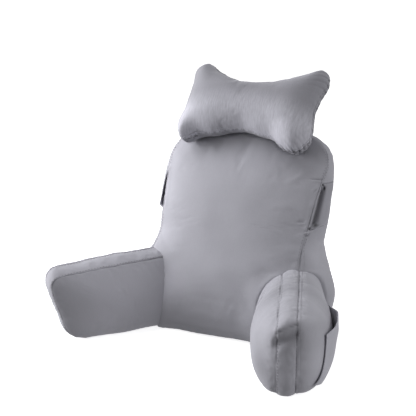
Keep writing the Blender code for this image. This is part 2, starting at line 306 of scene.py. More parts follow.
def creases(points, table):
    """(rise, painted shade) of each crease in a table of (line, width, height, painted shade) rows."""
    rise, shade = np.zeros(points.shape[:-1]), np.zeros(points.shape[:-1])
    for line, width, height, painted_shade in table:
        fold = crease(points, line, width)
        rise += height * fold
        shade += painted_shade * np.maximum(fold, 0)
    return rise, shade


def blended_least(values, blend):
    """The least of some arrays with its corners rounded: minus the blend times the log of
    the sum of e to the power of minus each over the blend."""
    stack = np.stack(values)
    least = stack.min(axis=0)
    return least - blend * np.log(np.exp(-(stack - least) / blend).sum(axis=0))


beside = np.array(((0.5, 0, 0), (0.5, 0.1, 0), (0.5, 0.2, 0)))
print("rise across a crease", crease(beside, ((0, 0, 0), (1, 0, 0)), 0.1).round(2).tolist())


# %% [markdown]
# ## A seam's profile
#
# Two edges of cloth are sewn face to face and folded back, so a seam is a narrow valley.
# Both raw edges are turned to one side and stitched down, which lifts a flat ridge there
# with a second, shallower valley along its far edge. Drawing this into the surface as a
# rise and fall keeps it where light can catch it, which a dark line would not.

# %% Seam profile
VALLEY_DEPTH = 0.0017
VALLEY_WIDTH = 0.0015
RIDGE_HEIGHT = 0.0008
RIDGE_WIDTH = 0.0075          # from the seam to its topstitching
RIDGE_START = 0.0004          # the ridge climbs from here
RIDGE_FULL = 0.0022           # to its full height here
RIDGE_BEFORE = 0.0012         # it falls from this far before the topstitching
RIDGE_BEYOND = 0.0010         # to this far beyond it
STITCH_DEPTH = 0.0007
STITCH_GROOVE = 0.0011        # half width of the topstitching's valley
SEAM_LINE = 0.0011            # half width of the dark line in the seam
STITCH_LINE = 0.0009          # and of the one along the topstitching
GATHER_DEPTH = 0.0005
GATHER_SIZE = 0.009           # the puckers' size and their reach from the seam


def seam_rise(q, ridge=1.0):
    """How far the cloth rises at a signed distance q from a seam: minus a bump at the
    seam, plus a plateau between it and the topstitching, minus a bump there."""
    fall, end = RIDGE_WIDTH - RIDGE_BEFORE, RIDGE_WIDTH + RIDGE_BEYOND
    raised_part = RIDGE_HEIGHT * between(q, RIDGE_START, RIDGE_FULL, fall, end)
    stitched = STITCH_DEPTH * bump(q - RIDGE_WIDTH, STITCH_GROOVE)
    return -VALLEY_DEPTH * bump(q, VALLEY_WIDTH) + ridge * (raised_part - stitched)


def seam_shade(q, ridge=1.0):
    """How dark the cloth is at q: 1 in the valley and half along the topstitching."""
    return bump(q, SEAM_LINE) + 0.5 * ridge * bump(q - RIDGE_WIDTH, STITCH_LINE)


def seam_gather(points, q, seed):
    """Small puckers where the thread pulls the cloth up: a crumple times e to the power
    of minus the distance from the seam over the crumple's size."""
    fade = np.exp(-np.abs(q) / GATHER_SIZE)
    return GATHER_DEPTH * crumple(points, GATHER_SIZE, seed) * fade


profile = 1000 * seam_rise(np.linspace(-0.002, 0.010, 7))
print("rise across a seam", profile.round(1).tolist(), "mm")


# %% [markdown]
# ## The backrest
#
# The backrest is a wedge: a wide foot, a front panel that leans back, and a thin rounded
# top. It could be carved from a box, but its outline changes all the way up, so it is
# lofted instead. A table gives each level section, and a smooth curve through the rows
# gives every level in between. The front and rear panels are crowned, two side bands
# join them, and four seams run up the corners.

# %% The backrest's sections
BACK_COLUMNS = ("height", "half", "front", "rear", "puff_front", "puff_rear", "puff_side")
BACK_SECTIONS = np.array((
    (0.000, 0.156, -0.094, 0.086, 0.004, 0.004, 0.002),
    (0.004, 0.172, -0.104, 0.100, 0.007, 0.006, 0.003),
    (0.018, 0.186, -0.112, 0.114, 0.012, 0.009, 0.008),
    (0.050, 0.194, -0.111, 0.123, 0.020, 0.013, 0.042),
    (0.110, 0.198, -0.096, 0.124, 0.028, 0.017, 0.064),
    (0.170, 0.199, -0.073, 0.118, 0.034, 0.019, 0.043),
    (0.230, 0.198, -0.045, 0.110, 0.036, 0.020, 0.024),
    (0.290, 0.204, -0.017, 0.106, 0.035, 0.019, 0.027),
    (0.350, 0.210, 0.012, 0.106, 0.032, 0.017, 0.026),
    (0.400, 0.216, 0.041, 0.111, 0.028, 0.014, 0.020),
    (0.436, 0.219, 0.068, 0.118, 0.023, 0.011, 0.008),
    (0.458, 0.209, 0.084, 0.124, 0.018, 0.008, 0.004),
    (0.476, 0.188, 0.097, 0.128, 0.014, 0.006, 0.004),
    (0.492, 0.156, 0.107, 0.131, 0.009, 0.004, 0.005),
    (0.502, 0.118, 0.113, 0.132, 0.005, 0.003, 0.005),
    (0.507, 0.078, 0.117, 0.129, 0.003, 0.002, 0.004),
))
BACK_TOP = 0.507
CROWN_POWER = 2.4
INSIDE_BACKREST = np.array((0.0, 0.03, 0.22))
print(len(BACK_SECTIONS), "sections up to", BACK_TOP, "m")


# %% [markdown]
# Straight steps between so few sections would show as edges, so each column of the table
# is read along a smooth curve. Every panel is then a formula of the height and of the
# share of the way across, and the same formulas tell whether a point lies inside the
# backrest, which keeps the other pieces out of it.

# %% Smooth curves and the backrest's panels
def smooth(knots, values, at):
    """A curve through the knots: on each span the cubic that meets both values with the
    slopes that the neighbouring knots give."""
    slopes = np.gradient(values, knots)
    index = np.clip(np.searchsorted(knots, at, side="right") - 1, 0, len(knots) - 2)
    span = knots[index + 1] - knots[index]
    t = (at - knots[index]) / span
    near = (1 + 2 * t) * (1 - t) ** 2 * values[index] + t * (1 - t) ** 2 * span * slopes[index]
    far = t * t * (3 - 2 * t) * values[index + 1] - t * t * (1 - t) * span * slopes[index + 1]
    return near + far


def back_value(name, height):
    """A column of the backrest's table at any height, from its foot to its top."""
    heights = BACK_SECTIONS[:, 0]
    return smooth(heights, BACK_SECTIONS[:, BACK_COLUMNS.index(name)], np.clip(height, 0, BACK_TOP))


def back_panel(height, x, seam, puff, sign):
    """A panel: its seam's depth plus the crown, which is the puff times 1 minus x to the
    power of 2.4, where x runs from -1 at the left seam to 1 at the right."""
    crown = back_value(puff, height) * (1 - np.abs(x) ** CROWN_POWER)
    y = back_value(seam, height) + sign * crown
    return np.stack([back_value("half", height) * x, y, height + 0 * y], axis=-1)


def back_band(height, depth, side):
    """A side band: straight from the front seam to the rear one, bulging sideways by the
    puff times the sine of pi times the share of the way."""
    front, rear = back_value("front", height), back_value("rear", height)
    bulge = back_value("puff_side", height) * np.sin(math.pi * depth)
    x = side * (back_value("half", height) + bulge)
    return np.stack([x, front + (rear - front) * depth, height + 0 * x], axis=-1)


def back_depth_inside(points):
    """Above 0 for a point inside the backrest: the least of its distances behind the
    front panel, before the rear panel, inside the bands, and below the top."""
    x, y, z = points[..., 0], points[..., 1], points[..., 2]
    half, front, rear = (back_value(name, z) for name in ("half", "front", "rear"))
    crown = 1 - np.minimum(np.abs(x) / half, 1) ** CROWN_POWER
    behind = y - (front - back_value("puff_front", z) * crown)
    before = (rear + back_value("puff_rear", z) * crown) - y
    depth = np.clip((y - front) / (rear - front), 0, 1)
    within = half + back_value("puff_side", z) * np.sin(math.pi * depth) - np.abs(x)
    return np.minimum.reduce([behind, before, within, BACK_TOP - z])


for z in (0.1, 0.3, 0.45):
    print("half width at", z, "m is", round(float(back_value("half", z)), 3), "m")


# %% [markdown]
# ## The arms' shape
#
# Each arm has two stuffed side panels and a strip of cloth, the band, sewn between their
# edges all the way round. Seen from the side the panels share one rounded outline, so a
# panel is that outline shrunk towards its middle while it rises sideways. A low edge
# power makes the rise start steeply and the arm egg-shaped. A high one leaves the panel
# flat, with a crisp edge at the seam, as on the slimmer left arm.

# %% The arms' measures
BAND_WIDTH = 0.046
ARM_TABLE = {                 # each value for the left arm and for the right one
    "name": ("left", "right"),
    "side": (-1, 1),
    "splay": (34.0, 21.0),           # degrees round from straight ahead
    "tilt": (20.0, 10.0),            # degrees that the band leans sideways
    "start_x": (0.186, 0.192),       # where the band starts on the backrest
    "start_y": (-0.084, -0.086),
    "length": (0.301, 0.302),
    "rear_height": (0.190, 0.204),   # height of the top where it starts
    "front_height": (0.179, 0.180),  # and at its front corner
    "root_drop": (0.004, 0.034),     # how much lower the top is at the root
    "set_back": (0.050, 0.034),      # how far the foot is behind the front corner
    "foot_radius": (0.058, 0.050),
    "puff_inner": (0.040, 0.068),    # how far the side panels stand out
    "puff_outer": (0.070, 0.077),
    "edge_inner": (1.9, 1.32),       # their edge powers beside the top seam
    "edge_outer": (1.0, 1.05),
    "edge_low": (0.95, 0.80),        # and beside the floor
    "widest": (0.062, 0.082),        # height of the panels' middle
    "dome": (0.003, 0.007),          # how high the band is crowned
    "ridge_inner": (0.0, 0.5),       # strength of the inner seam's ridge
    "seam_shift": (0.0, 0.0045),     # how far the outer seam lies on the band
    "seam_dark": (0.7, 0.1),         # extra darkness of the inner seam
    "elbow": (0.25, 1.0),            # how strong the fold at the front corner is
    "pocket_curve": (-0.012, 0.024), # how far ahead its pocket's front edge runs low down
}
ARM_ROOT = -0.115             # the panels begin this far behind the band's start
ARM_ROOT_RADIUS = 0.045
ARM_SHOULDER = 0.090          # behind it the top drops a little towards the root
ARM_SHOULDER_RADIUS = 0.25
ARM_TOP_RADIUS = 0.030
ROOT_SLIM = {"inner": 0.03, "outer": 0.11}   # share of a panel's puff gone at the root
SLIM_REAR = -0.02             # that share fades out between these distances ahead
SLIM_FRONT = 0.12
PANEL_RADIUS = 0.10           # from a panel's middle to its seam, roughly
STEEP = 0.8                   # a direction with this sine counts as straight up
CORNER_BLEND = 0.0005         # how far a body's inner corners are rounded
OUTLINE_STEPS = 320
print(len(ARM_TABLE), "values for each arm")


# %% [markdown]
# Seen from the side an arm has five corners, each with its own radius. A curve object with
# handles could draw them, but radii are what one measures on a pattern. The outline is
# then divided evenly, and each of its points begins one column of the arm's grid.

# %% An arm's outline
def rounded_polygon(corners, arc_steps=24):
    """A closed outline from (x, y, radius) corners: each corner is replaced by an arc that
    starts and ends radius over the half angle's tangent away from it."""
    points = []
    for i, (x, y, radius) in enumerate(corners):
        here = np.array([x, y])
        before = unit(np.array(corners[i - 1][:2]) - here)
        after = unit(np.array(corners[(i + 1) % len(corners)][:2]) - here)
        half = math.acos(before @ after) / 2
        centre = here + unit(before + after) * radius / math.sin(half)
        start = here + before * radius / math.tan(half) - centre
        end = here + after * radius / math.tan(half) - centre
        t = np.linspace(0, 1, arc_steps)[:, None]
        points.append(centre + radius * unit((1 - t) * start + t * end))
    return np.concatenate(points)


def evenly_spaced(line, count):
    """(a closed line again as count points the same distance apart, that distance)."""
    closed = np.vstack([line, line[:1]])
    along = walked(closed)
    at = np.linspace(0, along[-1], count, endpoint=False)
    return np.stack([np.interp(at, along, closed[:, k]) for k in range(2)], axis=1), at[1]


def arm_values(column):
    """An arm's column of the table, with its directions, its outline as (ahead, height)
    and the outline's middle worked out."""
    arm = dict(zip(ARM_TABLE, column))
    splay, side = math.radians(arm["splay"]), arm["side"]
    arm["ahead"] = np.array([side * math.sin(splay), -math.cos(splay), 0.0])
    arm["outward"] = np.array([side * math.cos(splay), math.sin(splay), 0.0])
    arm["start"] = np.array([side * arm["start_x"], arm["start_y"], 0.0])
    inside = np.array([0, 0, arm["front_height"] / 2])
    arm["inside"] = arm["start"] + arm["length"] / 2 * arm["ahead"] + inside
    arm["lean"] = math.sin(math.radians(arm["tilt"])) * BAND_WIDTH / 2 / arm["rear_height"]
    arm["flat_band"] = math.cos(math.radians(arm["tilt"])) * BAND_WIDTH / 2
    slope = (arm["front_height"] - arm["rear_height"]) / arm["length"]
    corners = (
        (ARM_ROOT, 0.0, ARM_ROOT_RADIUS),
        (ARM_ROOT, arm["rear_height"] + slope * ARM_ROOT - arm["root_drop"], ARM_ROOT_RADIUS),
        (ARM_SHOULDER, arm["rear_height"] + slope * ARM_SHOULDER, ARM_SHOULDER_RADIUS),
        (arm["length"], arm["front_height"], ARM_TOP_RADIUS),
        (arm["length"] - arm["set_back"], 0.0, arm["foot_radius"]),
    )
    arm["outline"], arm["pitch"] = evenly_spaced(rounded_polygon(corners), OUTLINE_STEPS)
    arm["middle"] = np.array([arm["outline"][:, 0].mean(), arm["widest"]])
    corner = np.array([arm["length"], arm["front_height"]])
    at_corner = np.argmin(np.linalg.norm(arm["outline"] - corner, axis=1))
    half_way = OUTLINE_STEPS // 2
    steps = (np.arange(OUTLINE_STEPS) - at_corner + half_way) % OUTLINE_STEPS - half_way
    arm["past_corner"] = steps * arm["pitch"]
    return arm


arms = [arm_values(column) for column in zip(*ARM_TABLE.values())]
for arm in arms:
    print("arm", arm["name"], "outline", round(arm["pitch"] * OUTLINE_STEPS, 3), "m round")


# %% [markdown]
# A stuffed panel stands out most in its middle and falls away to its seam. How it falls
# gives the arm its look, so that is a power which changes from the floor to the top seam.

# %% An arm's panels
def panel_puff(arm, which, ahead):
    """An arm panel's puff: its full value, less by a share that fades out ahead."""
    slim = ROOT_SLIM[which] * (1 - ramp(ahead, SLIM_REAR, SLIM_FRONT))
    return arm["puff_" + which] * (1 - slim)


def arm_point(arm, flat, aside, lean):
    """A point of an arm: its start, plus its distances ahead and outward, and its height
    made a little more or less by how far the band leans there."""
    return (
        arm["start"]
        + flat[..., :1] * arm["ahead"]
        + aside[..., None] * arm["outward"]
        + flat[..., 1:] * (1 + lean[..., None]) * np.array([0.0, 0.0, 1.0])
    )


def upward_share(sine):
    """0 for a direction down and 1 for a direction up: a ramp of its sine."""
    return ramp(sine, -STEEP, STEEP)


def arm_spokes(arm, flat):
    """(how far out a point of a panel is, as a share of the outline's distance in its
    direction; how far that direction points up, from 0 for down to 1 for up)."""
    spokes = arm["outline"] - arm["middle"]
    angles = np.arctan2(spokes[:, 1], spokes[:, 0])
    order = np.argsort(angles)
    offset = flat - arm["middle"]
    angle = np.arctan2(offset[..., 1], offset[..., 0])
    distance = np.linalg.norm(spokes, axis=1)[order]
    edge = np.interp(angle, angles[order], distance, period=2 * math.pi)
    return np.linalg.norm(offset, axis=-1) / edge, upward_share(np.sin(angle))


def panel_rise(arm, which, flat, crown, upward):
    """How far a panel stands out from the band: its puff times the crown to a power, which
    is low towards the floor, where the arm is boxy, and high towards the top seam."""
    edge = arm["edge_low"] + (arm["edge_" + which] - arm["edge_low"]) * upward
    return arm["flat_band"] + panel_puff(arm, which, flat[..., 0]) * crown ** edge


def arm_depth_inside(arm, points, blend=CORNER_BLEND):
    """Above 0 for a point inside an arm: the least of its distances below the outer panel,
    below the inner panel and inside the outline."""
    local = points - arm["start"]
    aside = local @ arm["outward"]
    lean = np.clip(aside / arm["flat_band"], -1, 1) * arm["lean"]
    flat = np.stack([local @ arm["ahead"], local[..., 2] / (1 + lean)], axis=-1)
    reach, upward = arm_spokes(arm, flat)
    crown = np.sqrt(1 - np.minimum(reach, 1) ** 2)
    outer = panel_rise(arm, "outer", flat, crown, upward)
    inner = panel_rise(arm, "inner", flat, crown, upward)
    return blended_least([outer - aside, aside + inner, (1 - reach) * PANEL_RADIUS], blend)


for arm in arms:
    thickness = arm["puff_inner"] + 2 * arm["flat_band"] + arm["puff_outer"]
    print("arm", arm["name"], "is up to", round(thickness, 3), "m thick")


# %% [markdown]
# ## The side pockets' place
#
# A side pocket is a slit in the front seam of a side band, with a bag of cloth behind
# it. The band's own cloth gapes at the slit. The backrest is hollowed a little there,
# so that the pocket has a real inside for the light to be lost in.

# %% Where the side pockets are
SIDE_POCKET_LOW = 0.284       # heights of the pocket's lower and upper edges
SIDE_POCKET_HIGH = 0.390
SIDE_POCKET_SAG = 0.006       # how far the lower edge is bent up in its middle
SIDE_POCKET_FRONT = 0.05      # the mouth's place, as a share of the side band's depth
SIDE_POCKET_REAR = 0.90
TRAY_DEPTH = 0.0027
POCKET_HOLLOW = 0.0150        # extra depth just inside the mouth
POCKET_DIP = 0.0105           # how far the right pocket's cloth dips in at its mouth
POCKET_ROLL = 0.0026          # and rolls out behind it
POCKET_STAND = 0.0115         # how far the left pocket's cloth stands out


def side_pocket_shares(height, depth):
    """A band's point in the pocket's own shares: along from the mouth to the rear, and up
    from the curved lower edge to the upper one."""
    along = (depth - SIDE_POCKET_FRONT) / (SIDE_POCKET_REAR - SIDE_POCKET_FRONT)
    low = SIDE_POCKET_LOW + SIDE_POCKET_SAG * np.sin(math.pi * np.clip(along, 0, 1))
    return along, (height - low) / (SIDE_POCKET_HIGH - low)


def pocket_tray(along, up):
    """1 within a side pocket and 0 outside it, with a soft border."""
    across = between(along, -0.03, 0.0, 1.0, 1.02)
    return across * ramp(up, -0.02, 0.0) * (1 - ramp(up, 1.0, 1.02))


def pocket_hollow(height, depth):
    """How far the band sinks behind a side pocket: a shallow tray, and more just inside the
    mouth, by the sine of pi times the share of the way up to the power of 0.4."""
    along, up = side_pocket_shares(height, depth)
    mouth = between(along, -0.01, 0.07, 0.12, 0.5)
    deep = mouth * np.sin(math.pi * np.clip(up, 0, 1)) ** 0.4
    return pocket_tray(along, up) * (TRAY_DEPTH + POCKET_HOLLOW * deep)


def pocket_lift(along, up, side):
    """How far a side pocket's cloth stands off the band. On the right one bump makes it
    dip in at the mouth and another rolls it out behind that. On the left it stands out
    from the mouth back, most of all low down."""
    if side > 0:
        roll, dip = POCKET_ROLL * bump(along - 0.46, 0.17), POCKET_DIP * bump(along - 0.08, 0.07)
        return between(up, 0.02, 0.16, 0.86, 1.0) * (roll - dip)
    standing = (1 - up) ** 0.7 * ramp(up, 0.05, 0.13) * (1 - ramp(up, 0.80, 0.97))
    return POCKET_STAND * standing * np.clip(1 - along / 0.7, 0, 1) ** 1.5


print("side pockets", round(SIDE_POCKET_HIGH - SIDE_POCKET_LOW, 3), "m high")


# %% [markdown]
# ## The backrest's cover
#
# The cover starts as the lofted grid, whose rings close at the foot and at the top. Cloth
# over stuffing never turns a sharp corner, so each ring is softened along its own length.
# Then the relief goes on: the corner seams and the base seam, puckers along them, the
# valleys where the arms are sewn on, and slow swells where the filling is uneven.

# %% The backrest's places and creases
CORNER_RADIUS = 0.006
PANEL_WIDTH = 0.41            # a panel's and a band's width, to space their columns by
SIDE_BAND_WIDTH = 0.14
OFF_BAND = -9.0               # stands for a side band's share of depth on the panels
BASE_SEAM_HEIGHT = 0.011
BASE_SLOPE = 1.3              # metres of cloth for each metre up at the base seam
UNEVEN_SIZE = 0.022           # a seam is deeper here and shallower there
FILLET_BACK = 0.012           # how far the backrest swells up to meet an arm
FILLET_ARM = 0.003            # how far an arm flares to meet the backrest
FILLET_REACH = 0.060
FILLET_BLEND = 0.008          # rounds the corners of the arm that it swells up to
SEWN_VALLEY = 0.0015          # depth of the valley where an arm is sewn on
SEWN_SINK = 0.002             # how far the backrest draws in behind an arm
CAP_SHARES = np.linspace(0, 1, 12, endpoint=False)
CAP_RISE = 0.002              # how much higher the top's middle is than its edge
BACK_SWELLS = ((0.0014, 0.12, 21), (0.0004, 0.05, 22))   # each one's height, size and seed
BACK_PAINTED_SHADING = (              # painted light and shade: middle, reach, change
    ((-0.215, 0.050, 0.420), 0.060, 0.28), ((-0.208, 0.005, 0.330), 0.060, 0.26),
    ((-0.190, -0.050, 0.230), 0.050, 0.26), ((-0.136, -0.114, 0.124), 0.050, 0.58),
    ((0.120, 0.055, 0.440), 0.070, -0.20), ((0.110, 0.000, 0.310), 0.080, -0.12),
    ((0.235, -0.005, 0.220), 0.050, 0.20), ((0.220, 0.065, 0.420), 0.040, 0.14),
    ((0.118, -0.093, 0.186), 0.022, -0.14), ((0.147, -0.083, 0.206), 0.022, -0.14),
    ((0.180, -0.067, 0.214), 0.022, -0.16), ((0.213, -0.054, 0.208), 0.022, -0.12),
)
BACK_CREASES = (              # each line's points, its half width, height and painted shade (below 0 a painted highlight)
    (((0.188, 0.0335, 0.400), (0.2023, 0.0387, 0.3987), (0.216, 0.043, 0.398)),
     0.0026, -0.0026, 0.9),
    (((0.210, 0.026, 0.380), (0.2002, 0.016, 0.3693)), 0.0018, -0.0016, 0.8),
    (((0.2066, 0.0224, 0.379), (0.196, 0.015, 0.377)), 0.0018, -0.0012, 0.5),
    (((0.1759, -0.0225, 0.3023), (0.198, -0.0155, 0.305)), 0.0028, -0.0022, 0.5),
    (((0.204, -0.019, 0.288), (0.2075, -0.009, 0.285), (0.2117, 0.0032, 0.2892),
      (0.216, 0.025, 0.2945)), 0.0026, -0.0050, 2.4),
    (((0.201, -0.026, 0.2765), (0.2084, -0.0078, 0.279), (0.2131, 0.0139, 0.282),
      (0.2154, 0.030, 0.286)), 0.0026, 0.0042, -0.6),
    (((0.1984, -0.0275, 0.274), (0.2066, -0.0228, 0.2725), (0.2088, -0.011, 0.2745)),
     0.0020, -0.0024, 1.6),
    # painted contact shadow on the backrest just under the neck pillow's edge
    (((-0.1712, 0.0718, 0.4539), (-0.1546, 0.0749, 0.4601), (-0.1236, 0.0845, 0.4719),
      (-0.0734, 0.0907, 0.4801), (-0.023, 0.0946, 0.4887), (0.0134, 0.0902, 0.4842),
      (0.0488, 0.0865, 0.4798), (0.0666, 0.0842, 0.4763), (0.0891, 0.0709, 0.4623),
      (0.108, 0.0652, 0.4546), (0.1407, 0.0645, 0.45), (0.1522, 0.0752, 0.4593)),
     0.0048, -0.0010, 1.2),
)
print(len(BACK_CREASES), "creases and", len(BACK_PAINTED_SHADING), "patches on the backrest")


# %% [markdown]
# The grid goes round the backrest in four blocks of columns: front panel, right band,
# rear panel, left band. They meet in sharp corners. A bevel would round these too, but it
# adds points, while a weighted mean along each ring leaves every column on its seam.

# %% The backrest's grid
def soften_rings(points, radius):
    """Rounds each closed row: a point becomes the mean of its row, each point weighted by
    a bump of its distance along the row and by the length of row that it stands for."""
    along, total = ring_lengths(points)
    stands_for = (np.roll(along, -1, axis=1) - np.roll(along, 1, axis=1)) % total / 2
    total = total[..., None]
    gap = (along[:, :, None] - along[:, None, :] + total / 2) % total - total / 2
    weight = bump(gap, radius) * stands_for[:, None, :]
    return weight @ points / weight.sum(axis=2)[..., None]


def backrest_grid():
    """(the rings from the foot up, the columns of its four seams, each band column's share
    of the depth): front panel, right band, rear panel and left band in turn."""
    pocket_edges = (SIDE_POCKET_LOW + SIDE_POCKET_SAG / 2, SIDE_POCKET_HIGH)
    height = (BACK_TOP * crowd(BACK_TOP, also=pocket_edges))[:, None]
    across = 2 * crowd(PANEL_WIDTH)[:-1] - 1
    depth = crowd(SIDE_BAND_WIDTH, also=(SIDE_BAND_WIDTH * SIDE_POCKET_REAR,))[:-1]
    blocks = [
        back_panel(height, across[None, :], "front", "puff_front", -1),
        back_band(height, depth[None, :], 1),
        back_panel(height, -across[None, :], "rear", "puff_rear", 1),
        back_band(height, 1 - depth[None, :], -1),
    ]
    widths = [block.shape[1] for block in blocks]
    seams = [0, widths[0], sum(widths[:2]), sum(widths[:3])]
    off_band = np.full_like(across, OFF_BAND)
    share = np.concatenate([off_band, depth, off_band, 1 - depth])
    return np.concatenate(blocks, axis=1), seams, share


# %% [markdown]
# Everything small is a rise along the cloth's normal, and the rises are simply added. So
# each can be changed or left out by itself, which a sculpted surface would not allow.

# %% The backrest's relief
def slow_swells(points, swells):
    """Slow unevenness of a filling: the sum of crumples, each with its height."""
    return sum(height * crumple(points, size, seed) for height, size, seed in swells)


def backrest_relief(points, seams, share):
    """(how far each point rises along its normal, how dark its seam lines are)."""
    lengths = ring_lengths(points)
    z = points[..., 2]
    rise, shade = np.zeros_like(z), np.zeros_like(z)
    # the corner seams thin out towards the top and stop at a pocket's mouth
    thin = (1 - ramp(z, 0.470, 0.495)) * (1 - pocket_tray(*side_pocket_shares(z, share[None, :])))
    for seed, (column, turn) in enumerate(zip(seams, (-1, 1, -1, 1))):
        q = turn * ring_offset(lengths, column)
        uneven = thin * (0.75 + 0.2 * crumple(points, UNEVEN_SIZE, 25 + seed))
        uneven = uneven * (1 - 0.55 * ramp(z, 0.36, 0.44))
        rise += seam_rise(q) * uneven + seam_gather(points, q, seed) * thin
        shade += seam_shade(q) * uneven
    base = (z - BASE_SEAM_HEIGHT) * BASE_SLOPE
    rise += seam_rise(base, 0.4) + seam_gather(points, base, 9)
    shade += seam_shade(base, 0.0)
    rise += slow_swells(points, BACK_SWELLS)
    for arm in arms:
        inside = arm_depth_inside(arm, points, blend=FILLET_BLEND)
        flare = FILLET_BACK * (1 + 0.3 * (share[None, :] >= 0))   # more on the side bands
        swell = np.clip(1 + inside / FILLET_REACH, 0, 1) ** 2
        rise += flare * swell * (1 - ramp(inside, 0.001, 0.012))
        valley = SEWN_VALLEY * bump(inside + 0.001, 0.004)
        rise -= valley + SEWN_SINK * ramp(inside, 0.002, 0.010)
    rise -= pocket_hollow(z, share[None, :])
    return rise, shade


# %% [markdown]
# The foot and the top are still open. Rings that shrink to a point close them with quads
# like all the others. The darkness of the seams, the painted shade of the creases and the
# patches of painted light and shade go along as numbers at the points, for the material
# to read.

# %% Close, shade and build the backrest's cover
def close_ends(points):
    """Adds rings that shrink to the middle of the first row and of the last one, where
    they rise by CAP_RISE times 1 minus the square of their size."""
    foot, top = points[0], points[-1]
    shares = CAP_SHARES[:, None, None]
    below = foot.mean(axis=0) + (foot - foot.mean(axis=0)) * shares
    above = top.mean(axis=0) + (top - top.mean(axis=0)) * shares[::-1]
    above[..., 2] += CAP_RISE * (1 - shares[::-1, :, 0] ** 2)
    return np.concatenate([below, points, above])


def brushed(points, patches):
    """The painted light and shade at each point: the sum over the patches of each one's change
    times a bump of the distance from its middle."""
    return sum(
        change * bump(np.linalg.norm(points - middle, axis=-1), reach)
        for middle, reach, change in patches
    )


def wrap_to_mesh(name, points, shade, patches):
    """A closed mesh from rings that shrink to a point at both ends."""
    quads = grid_quads(numbered(points.shape[:2]), wrap=True)
    return mesh_from(name, points, quads, shade=shade, brushed=brushed(points, patches))


def build_backrest():
    """The backrest's cover."""
    base, seams, share = backrest_grid()
    base = soften_rings(base, CORNER_RADIUS)
    rise, shade = backrest_relief(base, seams, share)
    normals = grid_normals(base, INSIDE_BACKREST, wrap=True)
    points = base + rise[..., None] * normals
    folds, fold_shade = creases(points, BACK_CREASES)
    points += folds[..., None] * normals
    points[..., 2] = np.clip(points[..., 2], 0, None)
    points[0, :, 2] = 0.0
    caps = np.zeros((len(CAP_SHARES), shade.shape[1]))
    shade = np.concatenate([caps, shade + fold_shade, caps])
    return wrap_to_mesh("backrest_cover", close_ends(points), shade, BACK_PAINTED_SHADING)


backrest = build_backrest()
print("backrest", len(backrest.data.polygons), "faces")


# %% [markdown]
# ## The arms' covers
#
# An arm's grid runs from the middle of its inner panel out to the seam, over the band,
# and in again to the middle of the outer panel. The backrest is already there, so the
# part of the arm that would lie inside it is pushed ahead until it comes out, which
# leaves the arm's end lying against the backrest like a stuffed cover that is sewn on.

# %% The arms' places and creases
PANEL_EASE = 0.060            # blur of a panel's outline by the time it reaches its middle
SEWN_GAP = 0.0012
MIN_FLOOR = 0.0004
PUSH_REACH = 0.30             # the furthest that a point is moved to get outside
PUSH_STEPS = 61
PUSH_HALVINGS = 14
BAND_CELL = 0.003
PROFILE_SAMPLES = 2001
ROOT_GATHER_DEPTH = 0.0007    # gathers where an arm's inner seam meets the backrest
ROOT_GATHER_PITCH = 0.0085
ELBOW_SEAM = 0.0065           # from the front top corner to the seam across the band
ELBOW_SLANT = 0.0075          # how much nearer it comes towards the outer side
ELBOW_SWELL = 0.0030
ELBOW_HOLLOW = 0.0075
ELBOW_RIDGE = 0.0009
ELBOW_VALLEY = 0.0018
ARM_SWELLS = ((0.0012, 0.09, 41), (0.0004, 0.04, 42))
ARM_CREASES = {               # each line's points, its half width, height and painted shade (below 0 a painted highlight)
    "left": (
        (((-0.1867, -0.0798, 0.1946), (-0.1772, -0.0931, 0.1888), (-0.1767, -0.1066, 0.1819)),
         0.0022, -0.0022, 1.5),
        (((-0.1976, -0.0918, 0.1936), (-0.1817, -0.1131, 0.1829)), 0.0020, -0.0020, 0.9),
        (((-0.2010, -0.1061, 0.1916), (-0.1899, -0.1242, 0.1822)), 0.0020, -0.0018, 0.7),
        (((-0.2067, -0.1163, 0.1909), (-0.1956, -0.1343, 0.1815)), 0.0020, -0.0014, 0.5),
    ),
    "right": (
        (((0.1539, -0.1436, 0.1626), (0.1473, -0.161, 0.149), (0.140, -0.176, 0.125)),
         0.0030, 0.0040, -0.50),
        (((0.148, -0.133, 0.162), (0.140, -0.148, 0.145), (0.133, -0.160, 0.120)),
         0.0026, -0.0024, 0.50),
        (((0.175, -0.2371, 0.1635), (0.172, -0.248, 0.156), (0.169, -0.256, 0.144)),
         0.0028, 0.0028, -0.2),
        (((0.1507, -0.1065, 0.1949), (0.1688, -0.1239, 0.1962)), 0.0026, -0.0018, 0.5),
        (((0.255, -0.356, 0.129), (0.268, -0.362, 0.130)), 0.0024, -0.0014, 0.4),
    ),
}
ARM_PAINTED_SHADING = {               # painted light and shade, as on the backrest
    "left": (
        ((-0.230, -0.180, 0.080), 0.110, 0.40), ((-0.270, -0.220, 0.180), 0.080, 0.10),
        ((-0.250, -0.270, 0.030), 0.070, 0.22),
    ),
    "right": (
        ((0.228, -0.340, 0.065), 0.036, -0.30), ((0.225, -0.140, 0.195), 0.070, -0.22),
        ((0.275, -0.115, 0.180), 0.045, -0.06), ((0.206, -0.224, 0.182), 0.040, -0.20),
        ((0.340, -0.325, 0.080), 0.050, 0.24), ((0.300, -0.360, 0.060), 0.034, 0.16),
    ),
}
print("creases on the arms", {name: len(lines) for name, lines in ARM_CREASES.items()})


# %% [markdown]
# A boolean could cut the arm off at the backrest, but it would leave a hard edge there.
# Cloth that is pressed against a cushion lies along it, so the points that would be
# hidden are moved ahead instead, to just outside the backrest.

